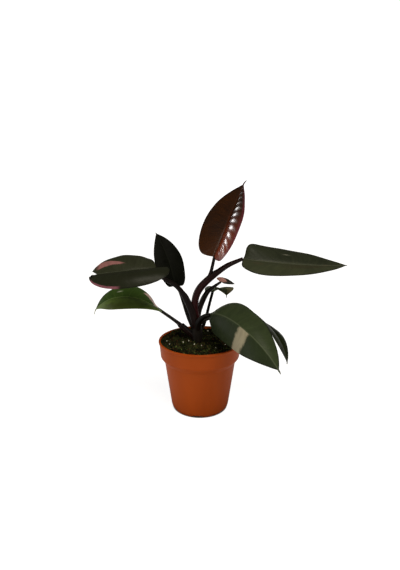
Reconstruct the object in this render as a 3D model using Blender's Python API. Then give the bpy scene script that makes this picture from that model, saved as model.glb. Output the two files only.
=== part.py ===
"""Potted philodendron: a young pink-variegated plant in a round nursery pot.

Units are metres and +Z is up. The origin is on the pot's axis, in the plane the
pot stands on. -Y is the plant's front and +X its right. Lengths are written in
millimetres and turned into metres by MM where an object is made.
"""

import math
from dataclasses import dataclass

import bmesh
import bpy
import numpy as np
from mathutils import Matrix, Vector, noise

MM = 0.001
GAP = 0.3  # clearance between touching pieces
SHARP_ANGLE = 40.0  # degrees; edges sharper than this are not smoothed
ROUGHNESS = {"plastic": 0.5, "soil": 0.95, "stem": 0.6, "petiole": 0.4, "leaf": 0.35}

# Pot: a 12 cm injection-moulded nursery pot with a stepped collar.
POT_HEIGHT = 103.0
RIM_RADIUS = 60.0
LIP_HEIGHT = 3.0
LIP_SLOPE = 0.5  # half the height of the slope under the lip
LIP_ROUND = 0.7
COLLAR_TOP_RADIUS = 58.8
COLLAR_FOOT_RADIUS = 57.2
COLLAR_FOOT_Z = 80.0
BODY_TOP_RADIUS = 51.6
BODY_TOP_Z = 72.5
BODY_FOOT_RADIUS = 42.2
CORNER_HEIGHT = 4.0
CORNER_STEPS = 3
INNER_CORNER_WIDTH = 1.0
INNER_CORNER_HEIGHT = 2.0
FOOT_RADIUS = 39.2
WALL = 1.7
STEP_RISE = 1.0  # how much higher the collar's step lies inside than outside
FLOOR = 2.0
GROOVE_INNER_RADIUS = 29.0
GROOVE_OUTER_RADIUS = 37.0
GROOVE_DEPTH = 3.0
GROOVE_SLOPE = 1.0
DRAIN_COUNT = 6
DRAIN_RADIUS = 3.0
DRAIN_SIDES = 12
DRAIN_CUT_DEPTH = 8.0
NOTCH_WIDTH = 15.0
NOTCH_HEIGHT = 2.4
NOTCH_CUT_LENGTH = 14.0  # long enough to pass through the foot
NOTCH_CUT_OFFSET = 1.5
NOTCH_FIRST_ANGLE = -95.0  # degrees from +X
POT_SIDES = 48

# Soil: the moist peat root ball that fills the pot to below its rim.
SOIL_LEVEL = 97.5
SOIL_EDGE_INSET = 0.5
SOIL_RINGS = 6
SOIL_BUMP = 0.6
SOIL_BUMP_SIZE = 14.0

# Stem: the short main shoot that the petioles leave.
STEM_AXIS = ((-3, 0, 84, 7.8), (-3, 0, 100, 7.6), (-4, 0, 118, 7.0), (-4, 0, 133, 5.6))
STEM_SIDES = 14

# Leaves.
BLADE_THICKNESS = 0.8
BLADE_SPANS = 3  # faces from the midrib to the margin
OUTLINE_STEPS = (4, 4, 6)  # spokes that fan into the lobe, the flank and the shoulder
MIDRIB_STEPS = 48
SPOKE_SPREAD = 1.5  # above 1, the spokes crowd towards the leaf's base
TIP_SHARE = 0.03  # half width of a drip tip where it leaves the shoulders
NOTCH_SHARE = 0.15  # the same, for a leaf whose tip lies in a notch
LOBE_PLACE = 0.45  # where a lobe reaches furthest back, as a share of the half width
DEEP_LOBE = 0.06  # a lobe deeper than this share of the length moves in towards the petiole
LOBE_SHIFT = 1.8
ROOT_PULL = (0.06, 0.6)  # the outline's handles, as shares of the half width and the length
LOBE_PULL = 0.35
FLANK_PULL = (0.8, 0.22)
SHOULDER_PULL = (0.3, 0.12)
FOLD_FADE = 0.25  # the share of a blade's fold that is lost by its tip
LAST_ROOT = 0.98  # where the last spoke of a notched leaf starts
PETIOLE_SIDES = 10
PETIOLE_STEPS = 4  # rings for each stretch of a petiole's route


@dataclass(frozen=True)
class Leaf:
    """One leaf: its petiole's route, and its blade's size, carriage and outline.

    route holds (x, y, z, radius) in millimetres from inside the stem to the blade.
    heading and climb are the midrib's compass and slope angles at its base, at the
    blade's shoulders and at its tip. roll turns the blade about its midrib, at its
    base and tip. fold lifts its left and right halves and curl turns their margins
    down again. All angles are in degrees. lobe is how far each half reaches back
    past the petiole, widest is where the blade is broadest, and tail is how far the
    tip runs on past the shoulders or, below zero, stops short of them: all three
    are fractions of the length. fullness is how broad the shoulders are.
    """

    name: str
    colour: str
    petiole_colour: str
    route: tuple
    length: float
    width: float
    heading: tuple
    climb: tuple
    roll: tuple
    fold: tuple
    curl: tuple
    lobe: tuple
    widest: float
    fullness: float
    tail: float
    yields_to: tuple = ()


LEAVES = (
    Leaf("right", "30331f", "2a1412",
         route=((-4, 0, 128, 4.4), (-8, 0, 156, 4.4), (1, 0, 181, 4.3), (33, 4, 208, 3.3),
                (60, 5, 221, 2.1)),
         length=151, width=72, heading=(-9, 13, 14), climb=(-7, -1.3, -6), roll=(28, 16), fold=(17, 18),
         curl=(23, 20), lobe=(-0.005, 0.0), widest=0.31, fullness=0.4, tail=0.02),
    Leaf("top", "3d2414", "1a120c",
         route=((9, 2, 190, 2.2), (15, 0, 203, 2.1), (20, 0, 225, 1.9)),
         length=118, width=65, heading=(40, 32, 38), climb=(63, 62, 30), roll=(12, 13), fold=(31, 23),
         curl=(9, 4), lobe=(0.02, 0.05), widest=0.36, fullness=0.40, tail=0.08, yields_to=("right",)),
    Leaf("left", "2b2d20", "1a120e",
         route=((-6, -1, 122, 4.2), (-13, -4, 150, 4.0), (-29, -11, 182, 2.9),
                (-53, -16, 200, 2.1), (-59, -22, 213, 2.0)),
         length=90, width=72, heading=(-147, -203, -203), climb=(2, -12.5, -12.5),
         roll=(-14, -35), fold=(33, 21), curl=(76, 33), lobe=(0.13, 0.03),
         widest=0.29, fullness=0.82, tail=-0.06, yields_to=("right",)),
    Leaf("rear_left", "10110c", "15110c",
         route=((-8, 2, 116, 2.4), (-17, 7, 136, 2.3), (-29, 20, 169, 1.9), (-37, 25, 180, 1.8)),
         length=85, width=49.5, heading=(127, 136, 150), climb=(71, 46, 50), roll=(14, -32), fold=(13, 14),
         curl=(22, 22), lobe=(0.045, 0.055), widest=0.28, fullness=0.36, tail=0.03, yields_to=("left",)),
    Leaf("front", "383d2b", "241611",
         route=((-4, -2, 116, 3.6), (-1, -7, 132, 3.4), (6, -12, 142, 2.9), (14, -18, 146, 2.3)),
         length=156, width=74, heading=(-73, -34, -30), climb=(26, -53, -60), roll=(36, 19), fold=(6, -49),
         curl=(50, 29), lobe=(0.05, 0.05), widest=0.32, fullness=0.45, tail=0.04, yields_to=("right",)),
    Leaf("lower_left", "2b361c", "1c150e",
         route=((-5, 2, 103, 3.3), (-18, 5, 113, 3.3), (-28, 8, 121, 3.0),
                (-35, 10, 127, 2.0), (-62, 12, 146.2, 1.7)),
         length=115, width=66, heading=(188, 159, 150), climb=(43, -48, -88), roll=(11, -51), fold=(9, 10),
         curl=(25, 12), lobe=(0.04, 0.1), widest=0.29, fullness=0.29, tail=0.09),
    Leaf("lower_right", "23280f", "1c150e",
         route=((-4, 2, 116, 2.2), (6, 8, 129, 2.1), (42, 20, 136, 1.9)),
         length=127, width=53, heading=(-14, -36, -60), climb=(12, -81, -100),
         roll=(-54, 17), fold=(11, 13), curl=(27, 22), lobe=(0.06, -0.12),
         widest=0.34, fullness=0.28, tail=0.03, yields_to=("front",)),
    Leaf("small_pink", "b8726a", "281a12",
         route=((-3, 3, 122, 3.2), (-2, 5, 144, 3.2), (8, 8, 168, 2.9),
                (17, 10, 177, 2.0), (30, 12, 186, 1.3)),
         length=32, width=22, heading=(55, 31, 31), climb=(-3, -26, -30), roll=(20, 20), fold=(15, 15),
         curl=(14, 16), lobe=(0.06, 0.06), widest=0.32, fullness=0.34, tail=0.04,
         yields_to=("right", "lower_right")),
    Leaf("small_rear", "45472f", "1c150e",
         route=((-3, 3, 113, 1.3), (6, 16, 121, 1.2), (15, 46, 145, 1.1), (20, 64, 158, 1.1)),
         length=52, width=42, heading=(-41, -85, -95), climb=(40, -28, -75), roll=(-7, -8), fold=(18, 18),
         curl=(18, 13), lobe=(0.06, 0.06), widest=0.32, fullness=0.35, tail=0.1,
         yields_to=("lower_right",)),
)


def clear_scene():
    """Removes every object that the start-up file holds."""
    for scene_object in list(bpy.data.objects):
        bpy.data.objects.remove(scene_object, do_unlink=True)


def plain_material(name, colour, roughness):
    """A Principled material from an sRGB hex colour."""
    linear = []
    for place in (0, 2, 4):
        value = int(colour[place:place + 2], 16) / 255
        linear.append(value / 12.92 if value <= 0.04045 else ((value + 0.055) / 1.055) ** 2.4)
    surface = bpy.data.materials.new(name)
    surface.use_nodes = True
    shader = surface.node_tree.nodes["Principled BSDF"]
    shader.inputs["Base Color"].default_value = (*linear, 1)
    shader.inputs["Roughness"].default_value = roughness
    shader.inputs["Metallic"].default_value = 0
    surface.diffuse_color = (*linear, 1)
    return surface


def add_object(name, shape, surface=None):
    """Turns a bmesh into a smooth-shaded object; one with no surface is a cutter."""
    mesh = bpy.data.meshes.new(name)
    shape.to_mesh(mesh)
    shape.free()
    mesh.shade_smooth()
    mesh.set_sharp_from_angle(angle=math.radians(SHARP_ANGLE))
    made = bpy.data.objects.new(name, mesh)
    bpy.context.collection.objects.link(made)
    if surface:
        mesh.materials.append(surface)
    else:
        made.hide_render = True
        made.display_type = "WIRE"
    return made


def cut(target, cutter):
    """Cuts one object out of another with a Boolean modifier."""
    boolean = target.modifiers.new("cut by " + cutter.name, "BOOLEAN")
    boolean.operation = "DIFFERENCE"
    boolean.solver = "EXACT"
    boolean.object = cutter


def turned(profile, sides):
    """Turns a (radius, z) outline about the Z axis; both of its ends lie on the axis."""
    shape = bmesh.new()
    corners = [shape.verts.new((radius * MM, 0, height * MM)) for radius, height in profile]
    edges = [shape.edges.new(pair) for pair in zip(corners, corners[1:])]
    bmesh.ops.spin(shape, geom=corners + edges, cent=(0, 0, 0), axis=(0, 0, 1),
                   angle=math.tau, steps=sides, use_duplicate=False)
    bmesh.ops.remove_doubles(shape, verts=shape.verts, dist=0.01 * MM)
    bmesh.ops.recalc_face_normals(shape, faces=shape.faces)
    return shape


def smooth_route(points, steps):
    """Points along a Catmull-Rom curve through the route; a fourth column is a radius."""
    route = np.array(points, dtype=float)
    ends = np.vstack([2 * route[0] - route[1], route, 2 * route[-1] - route[-2]])
    curve = []
    for before, start, end, after in zip(ends, ends[1:], ends[2:], ends[3:]):
        for step in range(steps):
            t = step / steps
            curve.append(0.5 * (2 * start + (end - before) * t
                                + (2 * before - 5 * start + 4 * end - after) * t ** 2
                                + (3 * start - before - 3 * end + after) * t ** 3))
    curve.append(route[-1])
    return curve


def tube(points, sides, grow=0.0):
    """A closed round tube along a smooth route, grown by a clearance all over."""
    curve = smooth_route(points, PETIOLE_STEPS)
    centres = [Vector(point[:3]) for point in curve]
    radii = [point[3] + grow for point in curve]
    directions = [(b - a).normalized() for a, b in zip(centres, centres[1:])]
    centres[-1] += directions[-1] * grow
    tangents = [directions[0]]
    tangents += [(a + b).normalized() for a, b in zip(directions, directions[1:])]
    tangents.append(directions[-1])
    across = tangents[0].orthogonal().normalized()
    shape = bmesh.new()
    rings = []
    for centre, tangent, radius in zip(centres, tangents, radii):
        across = (across - tangent * across.dot(tangent)).normalized()
        beside = tangent.cross(across)
        ring = []
        for side in range(sides):
            angle = math.tau * side / sides
            point = centre + (across * math.cos(angle) + beside * math.sin(angle)) * radius
            ring.append(shape.verts.new(point * MM))
        rings.append(ring)
    for lower, upper in zip(rings, rings[1:]):
        for side in range(sides):
            beyond = (side + 1) % sides
            shape.faces.new((lower[side], lower[beyond], upper[beyond], upper[side]))
    shape.faces.new(rings[0])
    shape.faces.new(rings[-1])
    bmesh.ops.recalc_face_normals(shape, faces=shape.faces)
    return shape


def pot_outer_profile():
    """The pot's outside as (radius, z), from the centre of its floor up to its lip."""
    corner = []
    for step in range(CORNER_STEPS + 1):
        angle = math.pi / 2 * step / CORNER_STEPS
        radius = FOOT_RADIUS + (BODY_FOOT_RADIUS - FOOT_RADIUS) * math.sin(angle)
        corner.append((radius, CORNER_HEIGHT * (1 - math.cos(angle))))
    lip_foot = POT_HEIGHT - LIP_HEIGHT
    return [(0, 0), (GROOVE_INNER_RADIUS, 0), (GROOVE_INNER_RADIUS + GROOVE_SLOPE, GROOVE_DEPTH),
            (GROOVE_OUTER_RADIUS - GROOVE_SLOPE, GROOVE_DEPTH), (GROOVE_OUTER_RADIUS, 0),
            *corner,
            (BODY_TOP_RADIUS, BODY_TOP_Z), (COLLAR_FOOT_RADIUS, COLLAR_FOOT_Z),
            (COLLAR_TOP_RADIUS, lip_foot - LIP_SLOPE), (RIM_RADIUS, lip_foot + LIP_SLOPE),
            (RIM_RADIUS, POT_HEIGHT - LIP_ROUND), (RIM_RADIUS - LIP_ROUND, POT_HEIGHT)]


def pot_inner_profile():
    """The pot's inside as (radius, z), from its lip down to the centre of its floor."""
    floor_top = GROOVE_DEPTH + FLOOR
    return [(COLLAR_TOP_RADIUS - WALL + LIP_ROUND, POT_HEIGHT),
            (COLLAR_TOP_RADIUS - WALL, POT_HEIGHT - LIP_ROUND),
            (COLLAR_FOOT_RADIUS - WALL, COLLAR_FOOT_Z + STEP_RISE),
            (BODY_TOP_RADIUS - WALL, BODY_TOP_Z + STEP_RISE),
            (BODY_FOOT_RADIUS - WALL, floor_top + INNER_CORNER_HEIGHT),
            (BODY_FOOT_RADIUS - WALL - INNER_CORNER_WIDTH, floor_top),
            (GROOVE_INNER_RADIUS, floor_top), (GROOVE_INNER_RADIUS - GROOVE_SLOPE, FLOOR), (0, FLOOR)]


def build_pot():
    """The pot, with its drain holes and the notches that let water out from under it."""
    surface = plain_material("pot plastic", "8b3e1c", ROUGHNESS["plastic"])
    pot = add_object("pot", turned(pot_outer_profile() + pot_inner_profile(), POT_SIDES), surface)
    openings = bmesh.new()
    middle = (GROOVE_INNER_RADIUS + GROOVE_OUTER_RADIUS) / 2
    for index in range(DRAIN_COUNT):
        notch_angle = math.radians(NOTCH_FIRST_ANGLE + 360 * index / DRAIN_COUNT)
        drain_angle = notch_angle + math.pi / DRAIN_COUNT
        drain = (Matrix.Rotation(drain_angle, 4, "Z")
                 @ Matrix.Translation((middle * MM, 0, GROOVE_DEPTH * MM)))
        bmesh.ops.create_cone(openings, cap_ends=True, segments=DRAIN_SIDES, radius1=DRAIN_RADIUS * MM,
                              radius2=DRAIN_RADIUS * MM, depth=DRAIN_CUT_DEPTH * MM, matrix=drain)
        notch = (Matrix.Rotation(notch_angle, 4, "Z")
                 @ Matrix.Translation(((BODY_FOOT_RADIUS + NOTCH_CUT_OFFSET) * MM, 0, 0))
                 @ Matrix.Diagonal((NOTCH_CUT_LENGTH * MM, NOTCH_WIDTH * MM, 2 * NOTCH_HEIGHT * MM, 1)))
        bmesh.ops.create_cube(openings, size=1, matrix=notch)
    cut(pot, add_object("pot openings", openings))


def build_soil(stem_room):
    """The root ball: it follows the pot's inside at a small gap and has an uneven top."""
    inside = pot_inner_profile()
    wall = [(radius - GAP, height + GAP) for radius, height in inside if height < SOIL_LEVEL]
    wall[-1] = (0, FLOOR + GAP)
    edge_radius = COLLAR_TOP_RADIUS - WALL - SOIL_EDGE_INSET - GAP
    top = [(edge_radius * ring / SOIL_RINGS, SOIL_LEVEL) for ring in range(SOIL_RINGS + 1)]
    shape = turned(top + wall, POT_SIDES)
    for corner in shape.verts:
        if corner.co.z > (SOIL_LEVEL - SOIL_BUMP) * MM:
            corner.co.z += SOIL_BUMP * MM * noise.noise(corner.co / (SOIL_BUMP_SIZE * MM))
    soil = add_object("soil", shape, plain_material("peat soil", "17160d", ROUGHNESS["soil"]))
    cut(soil, stem_room)


def half_outline(leaf, half):
    """One half of the flat blade as (distance from the midrib, distance along it)."""
    lobe, widest, tail = leaf.lobe[half], leaf.widest, leaf.tail
    shoulder = (TIP_SHARE if tail > 0 else NOTCH_SHARE, 1 - max(tail, 0))
    back = LOBE_PLACE - LOBE_SHIFT * max(lobe - DEEP_LOBE, 0)
    arcs = (((0, 0), (ROOT_PULL[0], -ROOT_PULL[1] * lobe), (LOBE_PULL * back, -lobe), (back, -lobe)),
            ((back, -lobe), (FLANK_PULL[0], -lobe), (1, widest - FLANK_PULL[1]), (1, widest)),
            ((1, widest), (1, widest + SHOULDER_PULL[0]),
             (leaf.fullness, shoulder[1] - SHOULDER_PULL[1]), shoulder))
    outline = [np.zeros(2)]
    for (first, second, third, last), steps in zip(arcs, OUTLINE_STEPS):
        for step in range(1, steps + 1):
            t = step / steps
            outline.append((1 - t) ** 3 * np.array(first) + 3 * (1 - t) ** 2 * t * np.array(second)
                           + 3 * (1 - t) * t ** 2 * np.array(third) + t ** 3 * np.array(last))
    outline.append(np.array((0, 1 + min(tail, 0))))
    return np.array(outline) * (leaf.width / 2, leaf.length)


class BladeForm:
    """Bends a flat leaf outline into the blade's carriage in space."""

    def __init__(self, leaf):
        self.leaf = leaf
        along = np.linspace(0, 1, MIDRIB_STEPS)
        stations = (0, 1 - max(leaf.tail, 0.001), 1)
        heading = np.radians(np.interp(along, stations, leaf.heading))
        climb = np.radians(np.interp(along, stations, leaf.climb))
        roll = np.radians(np.interp(along, (0, 1), leaf.roll))[:, None]
        level = np.zeros(MIDRIB_STEPS)
        self.forward = np.stack([np.cos(climb) * np.cos(heading), np.cos(climb) * np.sin(heading),
                                 np.sin(climb)], axis=1)
        left = np.stack([-np.sin(heading), np.cos(heading), level], axis=1)
        up = np.cross(self.forward, left)
        self.left = np.cos(roll) * left + np.sin(roll) * up
        self.up = np.cos(roll) * up - np.sin(roll) * left
        stride = leaf.length / (MIDRIB_STEPS - 1)
        steps = (self.forward[1:] + self.forward[:-1]) / 2 * stride
        self.midrib = np.array(leaf.route[-1][:3]) + np.vstack([np.zeros(3), np.cumsum(steps, axis=0)])

    def sample(self, rows, place):
        """Reads one of the midrib's tables at a place from 0, the base, to 1, the tip."""
        spot = min(max(place, 0), 1) * (MIDRIB_STEPS - 1)
        row = min(int(spot), MIDRIB_STEPS - 2)
        return rows[row] + (rows[row + 1] - rows[row]) * (spot - row)

    def point(self, side, out, along):
        """The place in space of a flat point; side is +1 on the left half and -1 on the right."""
        leaf = self.leaf
        place = along / leaf.length
        half = 0 if side > 0 else 1
        fold = math.radians(leaf.fold[half]) * (1 - FOLD_FADE * min(max(place, 0), 1))
        bend = math.radians(leaf.curl[half]) / (leaf.width / 2)
        reach = (math.sin(fold) - math.sin(fold - bend * out)) / bend
        rise = (math.cos(fold - bend * out) - math.cos(fold)) / bend
        spot = self.sample(self.midrib, place) + self.forward[0] * min(along, 0)
        return spot + side * reach * self.sample(self.left, place) + rise * self.sample(self.up, place)


def blade_sheet(leaf):
    """The blade's upper face: spokes that leave the midrib and fan out to the margin."""
    form = BladeForm(leaf)
    shape = bmesh.new()
    last = sum(OUTLINE_STEPS)
    reach = leaf.length * (1 - abs(leaf.tail))
    roots = [reach * (spoke / last) ** SPOKE_SPREAD for spoke in range(last + 1)]
    roots[-1] = reach if leaf.tail > 0 else LAST_ROOT * reach
    tip = leaf.length * (1 + min(leaf.tail, 0))
    midrib = [shape.verts.new(Vector(form.point(1, 0, root)) * MM) for root in roots + [tip]]
    for side, half in ((1, 0), (-1, 1)):
        outline = half_outline(leaf, half)
        spokes = [[midrib[0]] * (BLADE_SPANS + 1)]
        for index in range(1, last + 1):
            spoke = [midrib[index]]
            for span in range(1, BLADE_SPANS + 1):
                share = span / BLADE_SPANS
                out = outline[index][0] * share
                along = roots[index] + (outline[index][1] - roots[index]) * share
                spoke.append(shape.verts.new(Vector(form.point(side, out, along)) * MM))
            spokes.append(spoke)
        spokes.append([midrib[-1]] * (BLADE_SPANS + 1))
        for near, far in zip(spokes, spokes[1:]):
            for span in range(BLADE_SPANS):
                loop = [near[span], near[span + 1], far[span + 1], far[span]]
                corners = [corner for place, corner in enumerate(loop) if corner not in loop[:place]]
                shape.faces.new(corners[::-side])
    return shape


def build_leaf(leaf, stem_room, rooms):
    """A petiole that leaves the stem, and the blade that it carries."""
    stalk_skin = plain_material(leaf.name + " petiole skin", leaf.petiole_colour, ROUGHNESS["petiole"])
    stalk = add_object(leaf.name + "_petiole", tube(leaf.route, PETIOLE_SIDES), stalk_skin)
    cut(stalk, stem_room)
    for neighbour in leaf.yields_to:
        cut(stalk, rooms[neighbour])
    rooms[leaf.name] = add_object(leaf.name + " petiole room", tube(leaf.route, PETIOLE_SIDES, GAP))
    blade_skin = plain_material(leaf.name + " leaf skin", leaf.colour, ROUGHNESS["leaf"])
    blade = add_object(leaf.name + "_blade", blade_sheet(leaf), blade_skin)
    thickness = blade.modifiers.new("thickness", "SOLIDIFY")
    thickness.thickness = BLADE_THICKNESS * MM
    thickness.offset = -1
    cut(blade, rooms[leaf.name])


def build_plant():
    """The stem, the soil around it and every leaf."""
    skin = plain_material("stem skin", "17120c", ROUGHNESS["stem"])
    add_object("stem", tube(STEM_AXIS, STEM_SIDES), skin)
    stem_room = add_object("stem room", tube(STEM_AXIS, STEM_SIDES, GAP))
    build_soil(stem_room)
    rooms = {}
    for leaf in LEAVES:
        build_leaf(leaf, stem_room, rooms)


clear_scene()
build_pot()
build_plant()
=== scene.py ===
"""Potted philodendron: the visual model of a young pink-variegated plant.

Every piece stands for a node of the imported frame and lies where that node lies.
Lengths are written in millimetres and turned into metres by MM in the meshes.
-Y is the plant's front and +X its right.
"""

import logging
import math
from dataclasses import dataclass
from enum import Enum
from typing import Any, Optional, Sequence

import bmesh
import bpy
import numpy as np
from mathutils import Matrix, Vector, noise


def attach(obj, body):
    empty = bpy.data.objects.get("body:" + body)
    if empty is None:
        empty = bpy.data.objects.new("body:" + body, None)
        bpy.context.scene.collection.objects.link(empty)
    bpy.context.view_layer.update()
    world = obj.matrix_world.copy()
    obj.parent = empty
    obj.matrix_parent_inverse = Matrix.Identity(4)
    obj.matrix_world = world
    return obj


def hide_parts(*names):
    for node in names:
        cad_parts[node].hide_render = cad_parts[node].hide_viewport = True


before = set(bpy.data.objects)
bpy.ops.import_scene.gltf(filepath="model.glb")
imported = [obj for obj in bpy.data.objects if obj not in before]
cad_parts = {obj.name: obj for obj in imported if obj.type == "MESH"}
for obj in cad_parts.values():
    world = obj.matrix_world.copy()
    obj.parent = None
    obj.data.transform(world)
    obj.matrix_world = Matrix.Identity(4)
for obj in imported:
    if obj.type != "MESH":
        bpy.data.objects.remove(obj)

log = logging.getLogger("philodendron")

MM = 0.001
BODY = "root"

Point = tuple[float, float, float]
Colour = tuple[float, float, float, float]
Tree, Node, Socket = bpy.types.NodeTree, bpy.types.Node, bpy.types.NodeSocket
Material, Mesh, Piece = bpy.types.Material, bpy.types.Mesh, bpy.types.Object

# The kinds of node that are used most.
MATH, VECTOR_MATH, RANGE = "ShaderNodeMath", "ShaderNodeVectorMath", "ShaderNodeMapRange"
MIX, NOISE = "ShaderNodeMix", "ShaderNodeTexNoise"
STORED, POSITION = "GeometryNodeInputNamedAttribute", "GeometryNodeInputPosition"


# ---------------------------------------------------------------- node helpers


def linear(colour: str) -> Colour:
    """Turns an sRGB hex colour into linear red, green, blue and alpha.

    Args:
        colour: six hex digits, such as "8d3e1b".

    Returns:
        The linear colour, with an alpha of 1.
    """
    channels = []
    for place in (0, 2, 4):
        value = int(colour[place:place + 2], 16) / 255
        channels.append(value / 12.92 if value <= 0.04045 else ((value + 0.055) / 1.055) ** 2.4)
    return (channels[0], channels[1], channels[2], 1.0)


def fill(tree: Tree, node: Node, inputs: dict) -> None:
    """Fills or links a node's inputs.

    Args:
        tree: the node's tree.
        node: the node.
        inputs: input name or number to a plain value, a socket, or a node whose
            first enabled output is taken.
    """
    for key, value in inputs.items():
        if isinstance(key, int):
            socket = node.inputs[key]
        else:
            socket = next(entry for entry in node.inputs if entry.name == key and entry.enabled)
        if isinstance(value, Node):
            value = next(entry for entry in value.outputs if entry.enabled)
        if isinstance(value, Socket):
            tree.links.new(value, socket)
        else:
            socket.default_value = value


def add_node(tree: Tree, kind: str, inputs: Optional[dict] = None, **settings: Any) -> Node:
    """Adds a node, sets its properties, and fills or links its inputs.

    Args:
        tree: the node tree that gets the node.
        kind: the node's type, such as MATH.
        inputs: its inputs, as fill takes them.
        **settings: the node's properties, such as operation="ADD".

    Returns:
        The new node.
    """
    node = tree.nodes.new(kind)
    count = len(tree.nodes)
    node.location = (220 * (count % 14), -240 * (count // 14))
    for name, value in settings.items():
        setattr(node, name, value)
    fill(tree, node, inputs or {})
    return node


def new_surface(name: str, **sockets: Any) -> tuple[Material, Tree, Node]:
    """Makes a material whose Principled shader has the given values.

    Args:
        name: the material's name.
        **sockets: shader inputs, with underscores for spaces, such as Coat_Weight=0.3.

    Returns:
        The material, its node tree and its Principled shader.
    """
    surface = bpy.data.materials.new(name)
    surface.use_nodes = True
    tree = surface.node_tree
    shader = tree.nodes["Principled BSDF"]
    for socket, value in sockets.items():
        shader.inputs[socket.replace("_", " ")].default_value = value
    return surface, tree, shader


# -------------------------------------------------------------------- finishes


@dataclass(frozen=True)
class MouldedPolypropylene:
    """Injection-moulded polypropylene: an even satin skin with faint flow marks.

    The terracotta pigment is mixed into the plastic, so the colour only drifts a
    little, and the mould's fine spark finish breaks the gloss into a soft sheen.
    """

    name: str = "moulded polypropylene"
    colour: str = "a8480f"
    drift: str = "983f0c"
    roughness: float = 0.46
    grain: float = 0.7  # millimetres between the mould's pits; real ones are near 0.1
    flow: float = 26.0  # millimetres across a flow mark

    def build(self) -> Material:
        """Makes the material."""
        surface, tree, shader = new_surface(self.name, IOR=1.49, Specular_IOR_Level=0.11)
        place = add_node(tree, "ShaderNodeTexCoord").outputs["Object"]
        # Flow marks run up the wall, so the pattern is drawn out along Z.
        upright = add_node(tree, "ShaderNodeMapping", {"Vector": place, "Scale": (1, 1, 0.22)})
        marks = add_node(tree, NOISE, {"Vector": upright, "Scale": 1 / (self.flow * MM), "Detail": 4.0})
        colour = add_node(tree, MIX, {"Factor": marks, "A": linear(self.colour), "B": linear(self.drift)},
            data_type="RGBA")
        pits = add_node(tree, NOISE, {"Vector": place, "Scale": 1 / (self.grain * MM), "Detail": 2.0})
        gloss = add_node(tree, RANGE, {"Value": marks, "From Min": 0.3, "From Max": 0.7,
            "To Min": self.roughness - 0.05, "To Max": self.roughness + 0.07})
        bump = add_node(tree, "ShaderNodeBump", {"Height": pits, "Strength": 0.12, "Distance": 0.1 * MM})
        fill(tree, shader, {"Base Color": colour, "Roughness": gloss, "Normal": bump})
        return surface


@dataclass(frozen=True)
class LooseGround:
    """Something that was broken or grew in the pot: peat, perlite or moss.

    Each is dry and matt, with no gloss of its own, and changes colour from crumb
    to crumb. Damp peat keeps a faint wet glint.
    """

    name: str
    colours: tuple[str, str, str]
    crumb: float  # millimetres across a patch of one colour
    roughness: float = 0.92
    relief: float = 0.35  # millimetres of fine relief

    def build(self) -> Material:
        """Makes the material."""
        surface, tree, shader = new_surface(self.name, IOR=1.4, Roughness=self.roughness,
            Specular_IOR_Level=0.08)
        place = add_node(tree, "ShaderNodeTexCoord").outputs["Object"]
        patches = add_node(tree, NOISE, {"Vector": place, "Scale": 1 / (self.crumb * MM), "Detail": 5.0,
            "Roughness": 0.65})
        ramp = add_node(tree, "ShaderNodeValToRGB", {"Fac": patches})
        stops = ramp.color_ramp.elements
        stops[0].position, stops[0].color = 0.34, linear(self.colours[0])
        stops[1].position, stops[1].color = 0.68, linear(self.colours[2])
        stops.new(0.5).color = linear(self.colours[1])
        fine = add_node(tree, NOISE, {"Vector": place, "Scale": 2.5 / (self.crumb * MM), "Detail": 6.0})
        bump = add_node(tree, "ShaderNodeBump", {"Height": fine, "Strength": 0.8,
            "Distance": self.relief * MM})
        fill(tree, shader, {"Base Color": ramp, "Normal": bump})
        return surface


@dataclass(frozen=True)
class StalkSkin:
    """The smooth waxed skin of a petiole or of the short stem.

    It is dark red-brown, drawn out into fine lengthwise streaks, with a few pale
    breathing pores. "stalk_place" holds the place along it, the place round it and
    the distance in millimetres from its foot.
    """

    name: str
    foot: str
    top: str
    streak: str
    roughness: float = 0.33

    def build(self) -> Material:
        """Makes the material."""
        surface, tree, shader = new_surface(self.name, IOR=1.45, Specular_IOR_Level=0.13)
        place = add_node(tree, "ShaderNodeAttribute", attribute_name="stalk_place").outputs["Vector"]
        parts = add_node(tree, "ShaderNodeSeparateXYZ", {"Vector": place})
        rise = add_node(tree, RANGE, {"Value": parts.outputs[0], "From Min": 0.1, "From Max": 0.75},
            interpolation_type="SMOOTHSTEP")
        ground = add_node(tree, MIX, {"Factor": rise, "A": linear(self.foot), "B": linear(self.top)},
            data_type="RGBA")
        # Streaks: 40 round the stalk, each about 12 mm long.
        drawn = add_node(tree, "ShaderNodeMapping", {"Vector": place, "Scale": (0, 40, 0.08)})
        streaks = add_node(tree, NOISE, {"Vector": drawn, "Scale": 1.0, "Detail": 3.0})
        amount = add_node(tree, RANGE, {"Value": streaks, "From Min": 0.5, "From Max": 0.75,
            "To Max": 0.55})
        streaked = add_node(tree, MIX, {"Factor": amount, "A": ground, "B": linear(self.streak)},
            data_type="RGBA")
        solid = add_node(tree, "ShaderNodeTexCoord").outputs["Object"]
        pores = add_node(tree, "ShaderNodeTexVoronoi", {"Vector": solid, "Scale": 1 / (2.2 * MM)})
        pore = add_node(tree, RANGE, {"Value": pores.outputs["Distance"], "From Min": 0.06,
            "From Max": 0.16, "To Min": 0.5, "To Max": 0.0})
        colour = add_node(tree, MIX, {"Factor": pore, "A": streaked, "B": linear("6b4a3c")},
            data_type="RGBA")
        gloss = add_node(tree, RANGE, {"Value": streaks, "To Min": self.roughness - 0.08,
            "To Max": self.roughness + 0.12})
        bump = add_node(tree, "ShaderNodeBump", {"Height": streaks, "Strength": 0.25,
            "Distance": 0.2 * MM})
        fill(tree, shader, {"Base Color": colour, "Roughness": gloss, "Normal": bump})
        return surface


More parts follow.
